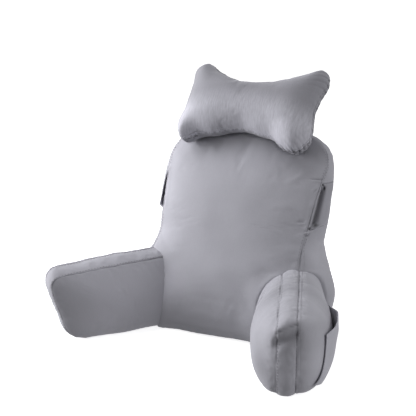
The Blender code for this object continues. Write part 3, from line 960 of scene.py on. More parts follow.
# %% Push an arm out of the backrest
def pushed_out(points, direction, depth_inside, gap):
    """Points inside a body moved along a direction to gap outside it: the first of many
    equal steps that is outside gives a bracket, which is then halved until it is tight."""
    inside = depth_inside(points) > -gap
    stuck = points[inside]
    steps = np.linspace(0, PUSH_REACH, PUSH_STEPS)
    out = np.stack([depth_inside(stuck + step * direction) <= -gap for step in steps])
    first = np.argmax(out, axis=0)
    high = steps[first]
    low = steps[np.maximum(first - 1, 0)]
    for _ in range(PUSH_HALVINGS):
        mid = (low + high) / 2
        outside = depth_inside(stuck + mid[:, None] * direction) <= -gap
        low, high = np.where(outside, low, mid), np.where(outside, mid, high)
    moved = points.copy()
    moved[inside] = stuck + high[:, None] * direction
    return moved, inside


# %% [markdown]
# The rows of a panel shrink towards its middle. Spacing them by the length of its profile
# keeps the cells even where it rises steeply, and blurring each row more than the one
# before takes the outline's corners out on the way in.

# %% An arm's grid
def panel_shares(puff, edge):
    """Shares from a panel's seam to its middle, spaced by the true length of the panel's
    profile: its radius times the cosine of a quarter turn, and its puff times the sine to
    the edge power."""
    s = np.linspace(0, 1, PROFILE_SAMPLES)
    turn = s * math.pi / 2
    profile = np.stack([PANEL_RADIUS * np.cos(turn), puff * np.sin(turn) ** edge], axis=1)
    along = walked(profile)
    return np.interp(crowd(along[-1], high=False) * along[-1], along, s)


def blurred_outline(outline, pitch, radii):
    """An outline blurred along its own length by each radius in turn: its Fourier terms
    are multiplied by e to the power of minus half the square of their rate times it."""
    rate = 2 * math.pi * np.fft.fftfreq(len(outline), pitch)
    terms = np.fft.fft(outline[:, 0] + 1j * outline[:, 1])
    eased = np.fft.ifft(terms * np.exp(-0.5 * (rate * radii[:, None]) ** 2), axis=1)
    return np.stack([eased.real, eased.imag], axis=-1)


def arm_grid(arm):
    """(the rows from the inner panel's middle to the outer one's, the seams' two rows)."""
    outline, middle = arm["outline"], arm["middle"]
    inner = panel_shares(arm["puff_inner"], arm["edge_inner"])[::-1]
    outer = panel_shares(arm["puff_outer"], arm["edge_outer"])
    across = 2 * crowd(BAND_WIDTH, cell=BAND_CELL) - 1

    def panel(shares, sign, which):
        turn = shares[:, None] * math.pi / 2
        eased = blurred_outline(outline, arm["pitch"], PANEL_EASE * shares)
        flat = middle + (eased - middle) * np.cos(turn)[..., None]
        upward = upward_share(unit(outline - middle)[None, :, 1])
        aside = sign * panel_rise(arm, which, flat, np.sin(turn), upward)
        return arm_point(arm, flat, aside, sign * arm["lean"] + 0 * aside)

    w = across[1:-1, None] + 0 * outline[None, :, 0]
    band = arm_point(arm, outline + 0 * w[..., None], w * arm["flat_band"], w * arm["lean"])
    rows = [panel(inner, -1, "inner"), band, panel(outer, 1, "outer")]
    return np.concatenate(rows), (len(inner) - 1, len(inner) + len(band))


# %% [markdown]
# The band's two seams, its crown, the fold at the front top corner, the creases, the
# uneven filling and the gathers at the root are added up, as on the backrest.

# %% An arm's relief
def arm_relief(arm, points, seams):
    """(how far each point rises along its normal, how dark it is: its seam lines, the painted
    shade and highlights of its creases, and the painted shade of the elbow's hollow).
    """
    along = walked(points)
    inner, outer = along[seams[0]] - along, along - along[seams[1]] + arm["seam_shift"]
    rise, shade = np.zeros_like(along), np.zeros_like(along)
    for seed, (q, ridge) in enumerate(((inner, arm["ridge_inner"]), (outer, 1.0))):
        uneven = 0.72 + 0.18 * crumple(points, UNEVEN_SIZE, 35 + seed)
        rise += seam_rise(q, ridge) * uneven + seam_gather(points, q, 31 + seed)
        shade += seam_shade(q, ridge) * uneven
    shade += arm["seam_dark"] * bump(inner, 0.0020)
    # from -1 at the inner seam to 1 at the outer one
    across = np.clip((inner - outer) / -BAND_WIDTH, -1.6, 1.6)
    rise += arm["dome"] * np.clip(1 - across ** 2, 0, 1)
    for folds, fold_shade in (elbow(arm, across), creases(points, ARM_CREASES[arm["name"]])):
        rise += folds
        shade += fold_shade
    rise += slow_swells(points, ARM_SWELLS)
    root = -back_depth_inside(points)
    rise += FILLET_ARM * np.clip(1 - root / FILLET_REACH, 0, 1) ** 2
    turns = points @ arm["ahead"] * 2 * math.pi / ROOT_GATHER_PITCH
    gathers = np.cos(turns + 1.5 * crumple(points, 0.02, 43))
    rise += ROOT_GATHER_DEPTH * gathers * (1 - ramp(root, 0.004, 0.028)) * bump(inner, 0.012)
    return rise, shade


def elbow(arm, across):
    """(rise, shade) where the band folds over the arm's front top corner: a seam across the
    band, a swell above it and a hollow below with painted shade in it, all fading out on
    the side panels."""
    line = arm["past_corner"][None, :] - (ELBOW_SEAM - ELBOW_SLANT * (across + 1))
    on_band = 1 - ramp(np.abs(across), 1.0, 1.12)
    near_band = 1 - ramp(np.abs(across), 0.85, 1.5)
    pinch = 1 - 0.6 * bump(across, 0.45)
    swell = ELBOW_SWELL * bump(line + 0.008, 0.010)
    hollow = ELBOW_HOLLOW * bump(line - 0.021, 0.013)
    ridge, valley = ELBOW_RIDGE * bump(line + 0.004, 0.0025), ELBOW_VALLEY * bump(line, 0.0013)
    rise = near_band * (swell - hollow) + pinch * on_band * (ridge - valley)
    # the cross seam's dark line, and painted shade in the hollow below it
    shade = pinch * on_band * bump(line, 0.0024) + 0.65 * on_band * bump(line - 0.021, 0.014)
    return arm["elbow"] * rise, arm["elbow"] * shade


# %% [markdown]
# Both arms come from one function and their own columns of the table. Had each been
# modelled by hand, every later change would have to be made twice.

# %% Build the arms' covers
def build_arm(arm):
    """An arm's cover."""
    base, seams = arm_grid(arm)
    rise, shade = arm_relief(arm, base, seams)
    normals = grid_normals(base, arm["inside"], wrap=True)
    normals[0], normals[-1] = -arm["outward"], arm["outward"]
    points = base + rise[..., None] * normals
    points, hidden = pushed_out(points, arm["ahead"], back_depth_inside, SEWN_GAP)
    points[..., 2] = np.clip(points[..., 2], MIN_FLOOR, None)
    print("arm", arm["name"], "lies against the backrest with", int(hidden.sum()), "points")
    return wrap_to_mesh("arm_" + arm["name"] + "_cover", points, shade, ARM_PAINTED_SHADING[arm["name"]])


arm_covers = [build_arm(arm) for arm in arms]
for cover in arm_covers:
    print(cover.name, len(cover.data.polygons), "faces")


# %% [markdown]
# ## The neck pillow
#
# The neck pillow is shaped like a bone: two equal panels sewn together round the edge,
# wide at the ends and drawn in at the waist. It slumps a little where it lies, so its
# outline is a table of points in the plane of its panels. A stuffed panel rises steeply
# from its edge and levels off, so its height follows from the distance to the edge. That
# distance is blended over the whole outline, because the plain distance has sharp ridges.
# The filling settles downwards, and the rear panel is pressed flat against the backrest.

# %% The neck pillow's measures
NECK_OUTLINE = np.array((     # across and up, from the lower left tip anticlockwise
    (-0.1845, -0.0703), (-0.1661, -0.1049), (-0.1272, -0.0853), (-0.0849, -0.0769),
    (-0.0447, -0.0651), (-0.0031, -0.0613), (0.0385, -0.0709), (0.0805, -0.0795),
    (0.1147, -0.1038), (0.1526, -0.1121), (0.1810, -0.0792), (0.1794, -0.0384),
    (0.1738, 0.0031), (0.1783, 0.0452), (0.1885, 0.0882), (0.1715, 0.1180),
    (0.1269, 0.1010), (0.0862, 0.0869), (0.0453, 0.0769), (0.0035, 0.0732),
    (-0.0382, 0.0752), (-0.0796, 0.0868), (-0.1184, 0.1029), (-0.1541, 0.1248),
    (-0.1840, 0.0990), (-0.1822, 0.0563), (-0.1806, 0.0145), (-0.1817, -0.0275),
))
NECK_TIPS = NECK_OUTLINE[[1, 9, 15, 23]]
NECK_STEPS = 480
NECK_RADIUS = 0.15            # from its edge to its middle, to space its rings by
NECK_CELL = 0.004
NECK_ZONE = 0.022
NECK_PUFF = {1: 0.062, -1: 0.058}        # height of the front and of the rear crown
NECK_LEVEL = {1: 0.082, -1: 0.080}       # distance from the edge where they level off
NECK_SETTLE = 2.9             # extra rear height for each metre down
NECK_EASE = 0.030
NECK_RECLINE = math.radians(40.0)
NECK_CENTRE = np.array((-0.0016, 0.0899, 0.5530))
NECK_SEAM_BACK = 0.008        # the seam lies this far behind the widest line
NECK_SEAM_LOW = 0.012         # and this much further along the lower edge
NECK_TIP_FOLDS = np.array((0.4, 1.2, 2.0, 0.4))   # how deep the gathers are at each tip
NECK_TIP_REACH = 0.050
NECK_PUCKER = 0.0042
NECK_PUCKER_PITCH = 0.0145
NECK_PUCKER_REACH = 0.030
NECK_GAP = 0.0016             # from the neck pillow to the backrest
NECK_PAINTED_LIGHT_AND_SHADE = 0.44               # half of this is painted light on the front's lower half, and painted shade elsewhere
NECK_SWELLS = ((0.0012, 0.09, 52), (0.0004, 0.035, 53))
# painted light and shade on the neck pillow: middle, reach, change
NECK_PAINTED_SHADING = (
    ((-0.140, 0.016, 0.525), 0.045, 0.42), ((0.011, 0.055, 0.602), 0.060, -0.14),
    ((0.144, 0.000, 0.498), 0.045, 0.10),
)
NECK_ACROSS = np.array((1.0, 0.0, 0.0))
NECK_UP = np.array((0.0, math.sin(NECK_RECLINE), math.cos(NECK_RECLINE)))
NECK_FORWARD = np.array((0.0, -math.cos(NECK_RECLINE), math.sin(NECK_RECLINE)))
print(len(NECK_OUTLINE), "points round the neck pillow")


# %% [markdown]
# A panel is made of rings that run inwards from the edge. Each ring is the outline again,
# a little smaller and smoother, and its height follows from the blended distance.

# %% The neck pillow's panels
def closed_curve(corners, count):
    """(a smooth closed curve through the corners as count points, their spacing)."""
    turns = np.arange(-2, len(corners) + 3)
    at = np.linspace(0, len(corners), 40 * len(corners), endpoint=False)
    line = np.stack([smooth(turns, corners[turns % len(corners), k], at) for k in range(2)], axis=1)
    return evenly_spaced(line, count)


def blended_distance(points, outline, pitch):
    """Distance to an outline, blended: one over the cube root of the sum of the pitch over
    each distance to the fourth, made exact for a long straight edge."""
    gaps = np.maximum(np.linalg.norm(points[..., None, :] - outline, axis=-1), 0.2 * pitch)
    straight = math.sqrt(math.pi) * math.gamma(1.5) / math.gamma(2.0)
    return (pitch * np.sum(gaps ** -4, axis=-1) / straight) ** (-1 / 3)


def neck_panel(shares, sign):
    """(points, distance round the outline): rings from the edge inwards. A ring's height
    is the puff times the root of 1 minus the square of 1 minus its blended distance."""
    outline, pitch = closed_curve(NECK_OUTLINE, NECK_STEPS)
    turn = shares[:, None] * math.pi / 2
    flat = blurred_outline(outline, pitch, NECK_EASE * shares) * np.cos(turn)[..., None]
    level = np.clip(blended_distance(flat, outline, pitch) / NECK_LEVEL[sign], 0, 1)
    level[0] = 0.0
    height = NECK_PUFF[sign] * np.sqrt(1 - (1 - level) ** 2)
    if sign < 0:
        height = height * (1 - NECK_SETTLE * flat[..., 1])
    x, y, z = flat[..., :1], flat[..., 1:], sign * height[..., None]
    points = NECK_CENTRE + x * NECK_ACROSS + y * NECK_UP + z * NECK_FORWARD
    return points, flat, pitch * np.arange(NECK_STEPS)[None, :]


# %% [markdown]
# Where the edge turns sharply, at the four tips, the thread draws the cloth into deep
# gathers. They are narrow valleys that run in from the seam, and a small random drift
# keeps them from being evenly spaced.

# %% The neck pillow's gathers and its cover
def neck_puckers(q, flat, around):
    """Gathers that run in from the seam: narrow valleys, the cosine's top half to the
    power of four, deep at the four tips and faint along the rest."""
    from_tips = np.linalg.norm(flat[..., None, :] - NECK_TIPS, axis=-1)
    tips = (NECK_TIP_FOLDS * bump(from_tips, NECK_TIP_REACH)).max(axis=-1)
    drift = np.random.default_rng(54).uniform(-2.4, 2.4, 81)
    wander = np.interp(around, np.linspace(0, 1.6, len(drift)), drift)
    valleys = (0.5 + 0.5 * np.cos(2 * math.pi * around / NECK_PUCKER_PITCH + wander)) ** 4
    return valleys * (0.10 + tips) * np.exp(-np.abs(q) / NECK_PUCKER_REACH)


def build_neck_pillow():
    """The neck pillow's cover: a front and a rear panel that share their edge."""
    shares = crowd(NECK_RADIUS, high=False, cell=NECK_CELL, zone=NECK_ZONE)
    sheets, shades, naps = [], [], []
    for sign in (1, -1):
        base, flat, around = neck_panel(shares, sign)
        seam = NECK_SEAM_BACK + NECK_SEAM_LOW * ramp(-flat[:1, :, 1], 0.03, 0.08)
        q = walked(base) + sign * seam
        pucker = neck_puckers(q, flat, around)
        rise = seam_rise(q, 0.0) + seam_gather(base, q, 51) - NECK_PUCKER * pucker
        rise += slow_swells(base, NECK_SWELLS)
        normals = grid_normals(base, NECK_CENTRE, wrap=True)
        normals[-1] = sign * NECK_FORWARD
        if sign > 0:
            # both panels' edges move along the mean of their normals
            rear = neck_panel(shares[:3], -1)[0]
            edge = unit(normals[0] + grid_normals(rear, NECK_CENTRE, wrap=True)[0])
        normals[0] = edge
        points = base + rise[..., None] * normals
        points, _ = pushed_out(points, NECK_FORWARD, back_depth_inside, NECK_GAP)
        sheets.append(points)
        # the gathers' valleys get painted shade beside the seam's dark line
        shades.append(seam_shade(q, 0.0) + 0.5 * pucker)
        naps.append(ramp(-flat[..., 1] - 0.2 * np.abs(flat[..., 0]), -0.05, 0.02) * (sign > 0))
    sheets[1][0] = sheets[0][0]
    ids = numbered(base.shape[:2])
    front = grid_quads(ids, wrap=True)
    quads = np.concatenate([front, (front + ids.size)[:, ::-1]])
    points, shade, nap = (np.concatenate(both) for both in (sheets, shades, naps))
    # painted light on the front's lower half, painted shade on the rest, and the painted patches
    lighter = NECK_PAINTED_LIGHT_AND_SHADE * nap - NECK_PAINTED_LIGHT_AND_SHADE / 2 + brushed(points, NECK_PAINTED_SHADING)
    return mesh_from("neck_pillow_cover", points, quads, shade=shade, nap=nap, brushed=lighter)


neck_pillow = build_neck_pillow()
print("neck pillow", len(neck_pillow.data.polygons), "faces")


# %% [markdown]
# ## The pockets
#
# A pocket is one layer of cloth, so it is made with two faces and a real thickness. It
# follows the cushion under it, close where it is sewn down and standing off at its mouth.

# %% The pockets' measures
CLOTH = 0.002                 # thickness of the cloth
FLUSH = 0.0002                # a side pocket's cloth lies this far under the band's face
POCKET_CREASES = (            # each line's points, its half width, height and painted shade (below 0 a painted highlight)
    (((0.2177, 0.0379, 0.390), (0.2138, 0.0411, 0.3781), (0.2118, 0.037, 0.367)),
     0.0019, -0.0030, 2.2),
    (((0.2177, 0.0379, 0.390), (0.2187, 0.0456, 0.3777), (0.2221, 0.0443, 0.366)),
     0.0019, -0.0030, 2.2),
    (((0.217, 0.041, 0.382), (0.2168, 0.0425, 0.372)), 0.0022, 0.0024, -1.2),
)
ARM_POCKET_FRONT = 0.232      # distances ahead along the arm
ARM_POCKET_REAR = 0.030
ARM_POCKET_LOW = 0.012
ARM_POCKET_RIM_FRONT = 0.134  # height of the mouth at its front end
ARM_POCKET_RIM_REAR = 0.126
ARM_POCKET_CURVE = 1.5 * 0.012       # how much higher its lower edge is at the front end
ARM_POCKET_GAP = 0.0021       # from the panel to the pocket where it is sewn down
ARM_POCKET_GAPE = 0.014       # how much further its mouth stands off
# painted light all over the arm pockets' cloth
ARM_POCKET_PAINTED_LIGHT = 0.28
POCKET_LENGTH = 0.2           # a pocket's rough size, to space its grid by
POCKET_HEIGHT = 0.12
POCKET_CELL = 0.003
print("the pockets' cloth is", 1000 * CLOTH, "mm thick")


# %% [markdown]
# A side pocket is a piece of the band itself, so it starts from the band's own formula
# and is raised from there. Little light gets into its slit, so that is made darker.

# %% The side pockets
def slit_shade(along, up, layer, side):
    """Painted shade and light on a side pocket's cloth. On the right its mouth is a slit of
    painted shade, darkest at the foot. On the left the inner face of the rim, which lies in
    shade, gets painted light in folds, the cosine of five and a half turns up it, and the
    most painted light at its foot."""
    if side > 0:
        slit = between(along, -0.03, 0.04, 0.08, 0.21) * between(up, 0.02, 0.12, 0.80, 0.93)
        return 1.25 * slit + 1.5 * bump(up - 0.05, 0.035) * bump(along - 0.12, 0.09)
    return (1 - layer) * (0.6 * np.cos(2 * math.pi * 5.5 * up) - 0.6 - 3.2 * bump(up, 0.36))


def side_pocket(along, up, layer, side):
    """A side pocket: the band's own shape, raised by the pocket's lift and its creases.
    Its upper face is flush with the band round it."""
    low = SIDE_POCKET_LOW + SIDE_POCKET_SAG * np.sin(math.pi * along)
    height = low + (SIDE_POCKET_HIGH - low) * up
    depth = SIDE_POCKET_FRONT + (SIDE_POCKET_REAR - SIDE_POCKET_FRONT) * along
    band = back_band(height, depth, side)
    swells = slow_swells(band, BACK_SWELLS)
    cloth = raised(band, swells + pocket_lift(along, up, side) - FLUSH, INSIDE_BACKREST)
    folds, shade = creases(cloth, BACK_CREASES + POCKET_CREASES)
    points = raised(cloth, folds + (layer - 1) * CLOTH, INSIDE_BACKREST)
    return points, shade + slit_shade(along, up, layer, side)


# %% [markdown]
# An arm pocket is sewn down on the outer panel along three sides, and only its mouth
# stands off. So it too starts from the formula of the panel under it.

# %% The arm pockets
def arm_pocket(along, up, layer, arm):
    """An arm pocket: the outer panel's own shape, raised by the gape, which rises
    and falls along the mouth, times up to the power of 1.4."""
    front = ARM_POCKET_FRONT + arm["pocket_curve"] * (1 - up) ** 3
    ahead = ARM_POCKET_REAR + (front - ARM_POCKET_REAR) * along
    rim = ARM_POCKET_RIM_REAR + (ARM_POCKET_RIM_FRONT - ARM_POCKET_RIM_REAR) * along
    low = ARM_POCKET_LOW + ARM_POCKET_CURVE * np.maximum(0, 2 * along - 1) ** 2
    flat = np.stack([ahead, low + (rim - low) * up], axis=-1)
    reach, upward = arm_spokes(arm, flat)
    side = panel_rise(arm, "outer", flat, np.sqrt(1 - np.minimum(reach, 1) ** 2), upward)
    gape = ARM_POCKET_GAPE * ramp(along, 0.0, 0.35) * ramp(1 - along, 0, 0.40) * up ** 1.4
    panel = arm_point(arm, flat, side, arm["lean"] + 0 * side)
    proud = ARM_POCKET_GAP + gape + slow_swells(panel, ARM_SWELLS)
    return raised(panel, proud + layer * CLOTH, arm["inside"]), 0 * along


# %% [markdown]
# A Solidify modifier could thicken one layer, but the two faces aren't the same: the inner
# face of the left side pocket has painted light of its own. So both faces are worked out,
# and a strip of quads joins their edges.

# %% Build the pockets
def build_pocket(name, surface, lighter, *where):
    """A pocket of two layers that share their edges, with the lighter value as painted light over all of it.
    """
    along, up = crowd(POCKET_LENGTH, cell=POCKET_CELL), crowd(POCKET_HEIGHT, cell=POCKET_CELL)
    along, up = np.meshgrid(along, up, indexing="ij")
    below, inner_shade = surface(along, up, 0, *where)
    above, shade = surface(along, up, 1, *where)
    ids = numbered(along.shape)
    rim = np.concatenate([ids[:, 0], ids[-1, 1:], ids[-2::-1, -1], ids[0, -2:0:-1]])
    after = np.roll(rim, -1)
    walls = np.stack([rim, after, after + along.size, rim + along.size], axis=-1)
    quads = np.concatenate([grid_quads(ids), grid_quads(ids + along.size), walls])
    points, shade = np.stack([below, above]), np.stack([inner_shade, shade])
    return mesh_from(name, points, quads, shade=shade, brushed=np.full_like(shade, lighter))


side_pockets = [
    build_pocket("side_pocket_" + arm["name"] + "_cloth", side_pocket, 0.0, arm["side"])
    for arm in arms
]
arm_pockets = [
    build_pocket("arm_pocket_" + arm["name"] + "_cloth", arm_pocket, ARM_POCKET_PAINTED_LIGHT, arm)
    for arm in arms
]
print(len(side_pockets + arm_pockets), "pockets")


# %% [markdown]
# ## A cloth simulation
#
# A sewn cover is never as even as a formula. Its seams are gathered by their thread, so
# the cloth beside them has length to spare and buckles into small folds. A simulation
# finds these folds: an even mesh of each cover is blown up by a light pressure while its
# seams shrink and the rest stays slack. Each finished cover is bound to that mesh and
# follows it. Only the folds are kept, and the slow change of the whole shape is taken
# out, because the outline is already right.

# %% Cloth helpers
SIM_CELL = 0.006
SIM_FRAMES = 20
SIM_PRESSURE = 4.0
SEAM_SHRINK = 0.04            # the seams get shorter by this share
SLACK = 0.012                 # and the cloth between them longer by this one
SEAM_REACH = 0.006
SEAM_DARKNESS = 0.6           # points darker than this lie on a seam
SEAM_POINTS = 2500            # about how many of them are enough
GROUP_LEVELS = 8              # steps of weight in the group of the seams' points
BLUR_STEPS = 30
FOLD_CAP = 0.0022


def numbers_of(items, key, width, kind=np.float32):
    """One property of many mesh items as an array, with width numbers for each item."""
    numbers = np.empty(width * len(items), kind)
    items.foreach_get(key, numbers)
    return numbers.reshape(-1, width)


def points_of(mesh):
    """A mesh's points as an array."""
    return numbers_of(mesh.vertices, "co", 3).astype(float)


def move_points(mesh, points):
    """Puts a mesh's points in new places."""
    mesh.vertices.foreach_set("co", points.astype(np.float32).ravel())
    mesh.update()


def evaluated(obj):
    """A new mesh of an object with its modifiers worked out."""
    return bpy.data.meshes.new_from_object(obj.evaluated_get(bpy.context.evaluated_depsgraph_get()))


print("simulation of", SIM_FRAMES, "frames with cells of", 1000 * SIM_CELL, "mm")


# %% [markdown]
# A cover's own grid is too fine and too uneven for a cloth simulation, which wants cells
# of one size. A voxel remesh gives those in one step. The points near the seams go into a
# vertex group, and their weight in it sets how much they shrink.

# %% The even copy and its simulation
def even_copy(cover):
    """An object with the same shape as a cover, remeshed into even cells."""
    copy = new_object(cover.name + "_even", cover.data.copy())
    remesh = copy.modifiers.new("remesh", "REMESH")
    remesh.mode = "VOXEL"
    remesh.voxel_size = SIM_CELL
    even = evaluated(copy)
    copy.modifiers.remove(remesh)
    copy.data = even
    return copy


def distances(points, others, block):
    """The distances from each point to all the others, a block of points at a time, so
    that they never need much memory."""
    for part in np.array_split(points, max(1, len(points) // block)):
        yield np.linalg.norm(part[:, None, :] - others, axis=-1)


def seam_weights(points, seam):
    """1 at the seam's points and 0 beyond its reach, for each of the points."""
    nearest = np.concatenate([gaps.min(axis=1) for gaps in distances(points, seam, 500)])
    return 1 - ramp(nearest, 0.5 * SEAM_REACH, 1.5 * SEAM_REACH)


def blown_up(even, seam):
    """The even copy's points after the simulation."""
    group = even.vertex_groups.new(name="seam")
    weights = seam_weights(points_of(even.data), seam)
    for level in range(1, GROUP_LEVELS + 1):
        low, high = (level - 0.5) / GROUP_LEVELS, (level + 0.5) / GROUP_LEVELS
        members = np.flatnonzero((weights > low) & (weights <= high))
        group.add(members.tolist(), level / GROUP_LEVELS, "REPLACE")
    cloth = even.modifiers.new("cloth", "CLOTH")
    settings = cloth.settings
    settings.quality = 4
    settings.mass = 0.3
    settings.tension_stiffness = settings.compression_stiffness = 12
    settings.shear_stiffness = 5
    settings.bending_stiffness = 0.05
    settings.use_pressure = True
    settings.uniform_pressure_force = SIM_PRESSURE
    settings.vertex_group_shrink = group.name
    settings.shrink_min = -SLACK
    settings.shrink_max = SEAM_SHRINK
    settings.effector_weights.gravity = 0.0
    cloth.collision_settings.use_collision = False
    cloth.point_cache.frame_start = 1
    cloth.point_cache.frame_end = SIM_FRAMES
    for frame_number in range(1, SIM_FRAMES + 1):
        bpy.context.scene.frame_set(frame_number)
    mesh = evaluated(even)
    points = points_of(mesh)
    bpy.data.meshes.remove(mesh)
    even.modifiers.remove(cloth)
    bpy.context.scene.frame_set(1)
    return points


# %% [markdown]
# The pressure also blows the whole cover up a little. That slow change is found by
# blurring the movement over the mesh, and what is left without it is the folds.

# %% Keep the folds
def folds_only(mesh, shift):
    """A shift of each point less its own blur over the mesh, and its length over the cap
    replaced by the hyperbolic tangent of that. One step of the blur moves each point's
    shift half way to the mean of its neighbours' shifts."""
    a, b = numbers_of(mesh.edges, "vertices", 2, np.int32).T
    points = len(shift)
    count = np.bincount(np.concatenate([a, b]), minlength=points).clip(1)[:, None]
    slow = shift.copy()
    for _ in range(BLUR_STEPS):
        total = np.stack([
            np.bincount(a, slow[b, k], points) + np.bincount(b, slow[a, k], points)
            for k in range(3)
        ], axis=1)
        slow = 0.5 * slow + 0.5 * total / count
    folds = shift - slow
    size = np.linalg.norm(folds, axis=1, keepdims=True) / FOLD_CAP
    return folds * np.tanh(size) / np.maximum(size, TINY)


def settle(cover, free, share):
    """Runs the simulation for a cover and moves its points by a share of the folds, each
    times how free it is to move."""
    before = points_of(cover.data)
    shade = numbers_of(cover.data.attributes["shade"].data, "value", 1)[:, 0]
    seam = before[shade > SEAM_DARKNESS]
    even = even_copy(cover)
    rest = points_of(even.data)
    follow = cover.modifiers.new("follow", "SURFACE_DEFORM")
    follow.target = even
    with bpy.context.temp_override(object=cover, active_object=cover, selected_objects=[cover]):
        bpy.ops.object.surfacedeform_bind(modifier=follow.name)
    bound = follow.is_bound
    after = blown_up(even, seam[:: max(1, len(seam) // SEAM_POINTS)])
    folds = folds_only(even.data, after - rest)
    move_points(even.data, rest + folds)
    mesh = evaluated(cover)
    shift = points_of(mesh) - before
    bpy.data.meshes.remove(mesh)
    cover.modifiers.remove(follow)
    points = before + share * shift * free(before)[:, None]
    points[:, 2] = np.maximum(points[:, 2], np.minimum(before[:, 2], MIN_FLOOR))
    move_points(cover.data, points)
    old = even.data
    bpy.data.objects.remove(even)
    bpy.data.meshes.remove(old)
    sizes = 1000 * np.linalg.norm(folds, axis=1)
    print(cover.name, "bound", bound, "folds up to", round(float(sizes.max()), 1),
          "mm, typical", round(float(sizes.mean()), 2), "mm")


# %% [markdown]
# Where a cover is pressed against another piece or stands on the floor it isn't free to
# fold, so the folds fade out there.

# %% Simulate the covers
BACK_SHARE = 0.5              # how much of the folds each kind of cover keeps
ARM_SHARE = 0.45
NECK_SHARE = 0.4


def back_is_free(points):
    """0 where the backrest meets an arm, a pocket or the floor, 1 elsewhere."""
    x, z = points[:, 0], points[:, 2]
    near = np.maximum.reduce([arm_depth_inside(arm, points) for arm in arms])
    pocket_middle = (SIDE_POCKET_LOW + SIDE_POCKET_HIGH) / 2
    beside = ramp(np.abs(x), 0.188, 0.200) * bump((z - pocket_middle) / 0.075, 1.0)
    return ramp(-near, 0.002, 0.018) * ramp(z, 0.0, 0.012) * np.clip(1 - 1.4 * beside, 0, 1)


def others_are_free(points, arm=None):
    """0 where a piece lies on the backrest or on the floor, 1 elsewhere, and less behind
    an arm's pocket."""
    free = ramp(-back_depth_inside(points), 0.003, 0.018) * ramp(points[:, 2], 0.0, 0.012)
    if arm is None:
        return free
    aside = (points - arm["start"]) @ arm["outward"]
    return free * (1 - 0.8 * ramp(aside, arm["flat_band"] + 0.01, arm["flat_band"] + 0.035))


settle(backrest, back_is_free, BACK_SHARE)
for cover, arm in zip(arm_covers, arms):
    settle(cover, lambda points: others_are_free(points, arm), ARM_SHARE)
settle(neck_pillow, others_are_free, NECK_SHARE)


# %% [markdown]
# ## The stitches
#
# Beside the main seams a row of top stitches holds the cover down. Each stitch is a
# small thread bead of a few faces, and all the stitches of one cover are one mesh. The
# rows are worked out beside the seams, and each stitch is then moved to the nearest
# point of its finished cover, so that it lies on the folds too.

# %% Beads of thread
STITCH_PITCH = 0.0076
STITCH_LENGTH = 0.0048
STITCH_WIDTH = 0.0013
STITCH_ASIDE = 0.0042         # from the seam to its row of stitches
STITCH_CLEAR = 0.006          # no stitches this close to a piece that would cover them
STITCH_LIFT = 0.0002
BEAD_RINGS = 6
BEAD_SIDES = 6
SHORT_RUN = 5                 # a stretch of so few points gets no stitches


def along_line(line, pitch):
    """Points a pitch apart along an open line."""
    gone = walked(line)
    at = np.arange(pitch / 2, gone[-1], pitch)
    return np.stack([np.interp(at, gone, line[:, k]) for k in range(3)], axis=1)


def nearest_on(cover, points):
    """(the cover's mesh points nearest to the given ones, their normals)."""
    surface = points_of(cover.data)
    normals = numbers_of(cover.data.vertex_normals, "vector", 3)
    near = np.concatenate([gaps.argmin(axis=1) for gaps in distances(points, surface, 40)])
    return surface[near], normals[near].astype(float)


def stitches(name, cover, rows):
    """Beads along rows of points: each is a sphere's sines and cosines stretched to a
    stitch's length along the row and to its width across it."""
    centres = np.concatenate(rows)
    ahead = np.concatenate([unit(np.gradient(row, axis=0)) for row in rows])
    surface, normals = nearest_on(cover, centres)
    lift = np.sum((surface - centres) * normals, axis=1, keepdims=True)
    centres = centres + lift * normals + STITCH_LIFT * normals
    aside = unit(np.cross(normals, ahead))
    turn = np.linspace(0, math.pi, BEAD_RINGS)[None, :, None, None]
    around = np.linspace(0, 2 * math.pi, BEAD_SIDES, endpoint=False)[None, None, :, None]
    centres, ahead, aside, normals = (
        vectors[:, None, None, :] for vectors in (centres, ahead, aside, normals)
    )
    across = aside * np.cos(around) + normals * np.sin(around)
    points = centres + STITCH_LENGTH / 2 * np.cos(turn) * ahead
    points = points + STITCH_WIDTH / 2 * np.sin(turn) * across
    beads = numbered(points.shape[:3])
    quads = np.concatenate([grid_quads(bead, wrap=True) for bead in beads])
    return mesh_from(name, points, quads)


print("a stitch every", 1000 * STITCH_PITCH, "mm")


# %% [markdown]
# The rows follow the same formulas as the seams, a few millimetres aside, and stop where
# another piece would cover them.

# %% Rows of stitches
def back_rows():
    """Rows beside the backrest's front seams, on both sides of them."""
    height = np.linspace(0.03, 0.47, 300)
    free = (height < SIDE_POCKET_LOW - 0.008) | (height > SIDE_POCKET_HIGH + 0.008)
    for side in (-1, 1):
        share = 1 - STITCH_ASIDE / back_value("half", height)
        front = back_panel(height, side * share, "front", "puff_front", -1)
        reach = back_value("rear", height) - back_value("front", height)
        for line in (front, back_band(height, STITCH_ASIDE / reach, side)):
            clear = np.all([arm_depth_inside(arm, line) < -STITCH_CLEAR for arm in arms], axis=0)
            for run in runs_of(line, free & clear):
                yield along_line(run, STITCH_PITCH)


def arm_rows(arm):
    """Rows on the band beside an arm's two seams."""
    start = int(np.argmin(arm["outline"][:, 0]))
    outline = np.roll(arm["outline"], -start, axis=0)
    for side in (-1, 1):
        w = side * (1 - 2 * STITCH_ASIDE / BAND_WIDTH) + 0 * outline[:, 0]
        line = arm_point(arm, outline, w * arm["flat_band"], w * arm["lean"])
        for run in runs_of(line, (back_depth_inside(line) < -STITCH_CLEAR) & (line[:, 2] > 0.012)):
            yield along_line(run, STITCH_PITCH)


def runs_of(line, wanted):
    """The stretches of a line whose points are wanted, leaving out very short ones."""
    edges = np.flatnonzero(np.diff(np.concatenate([[0], wanted.astype(int), [0]])))
    return [line[a:b] for a, b in zip(edges[::2], edges[1::2]) if b - a > SHORT_RUN]


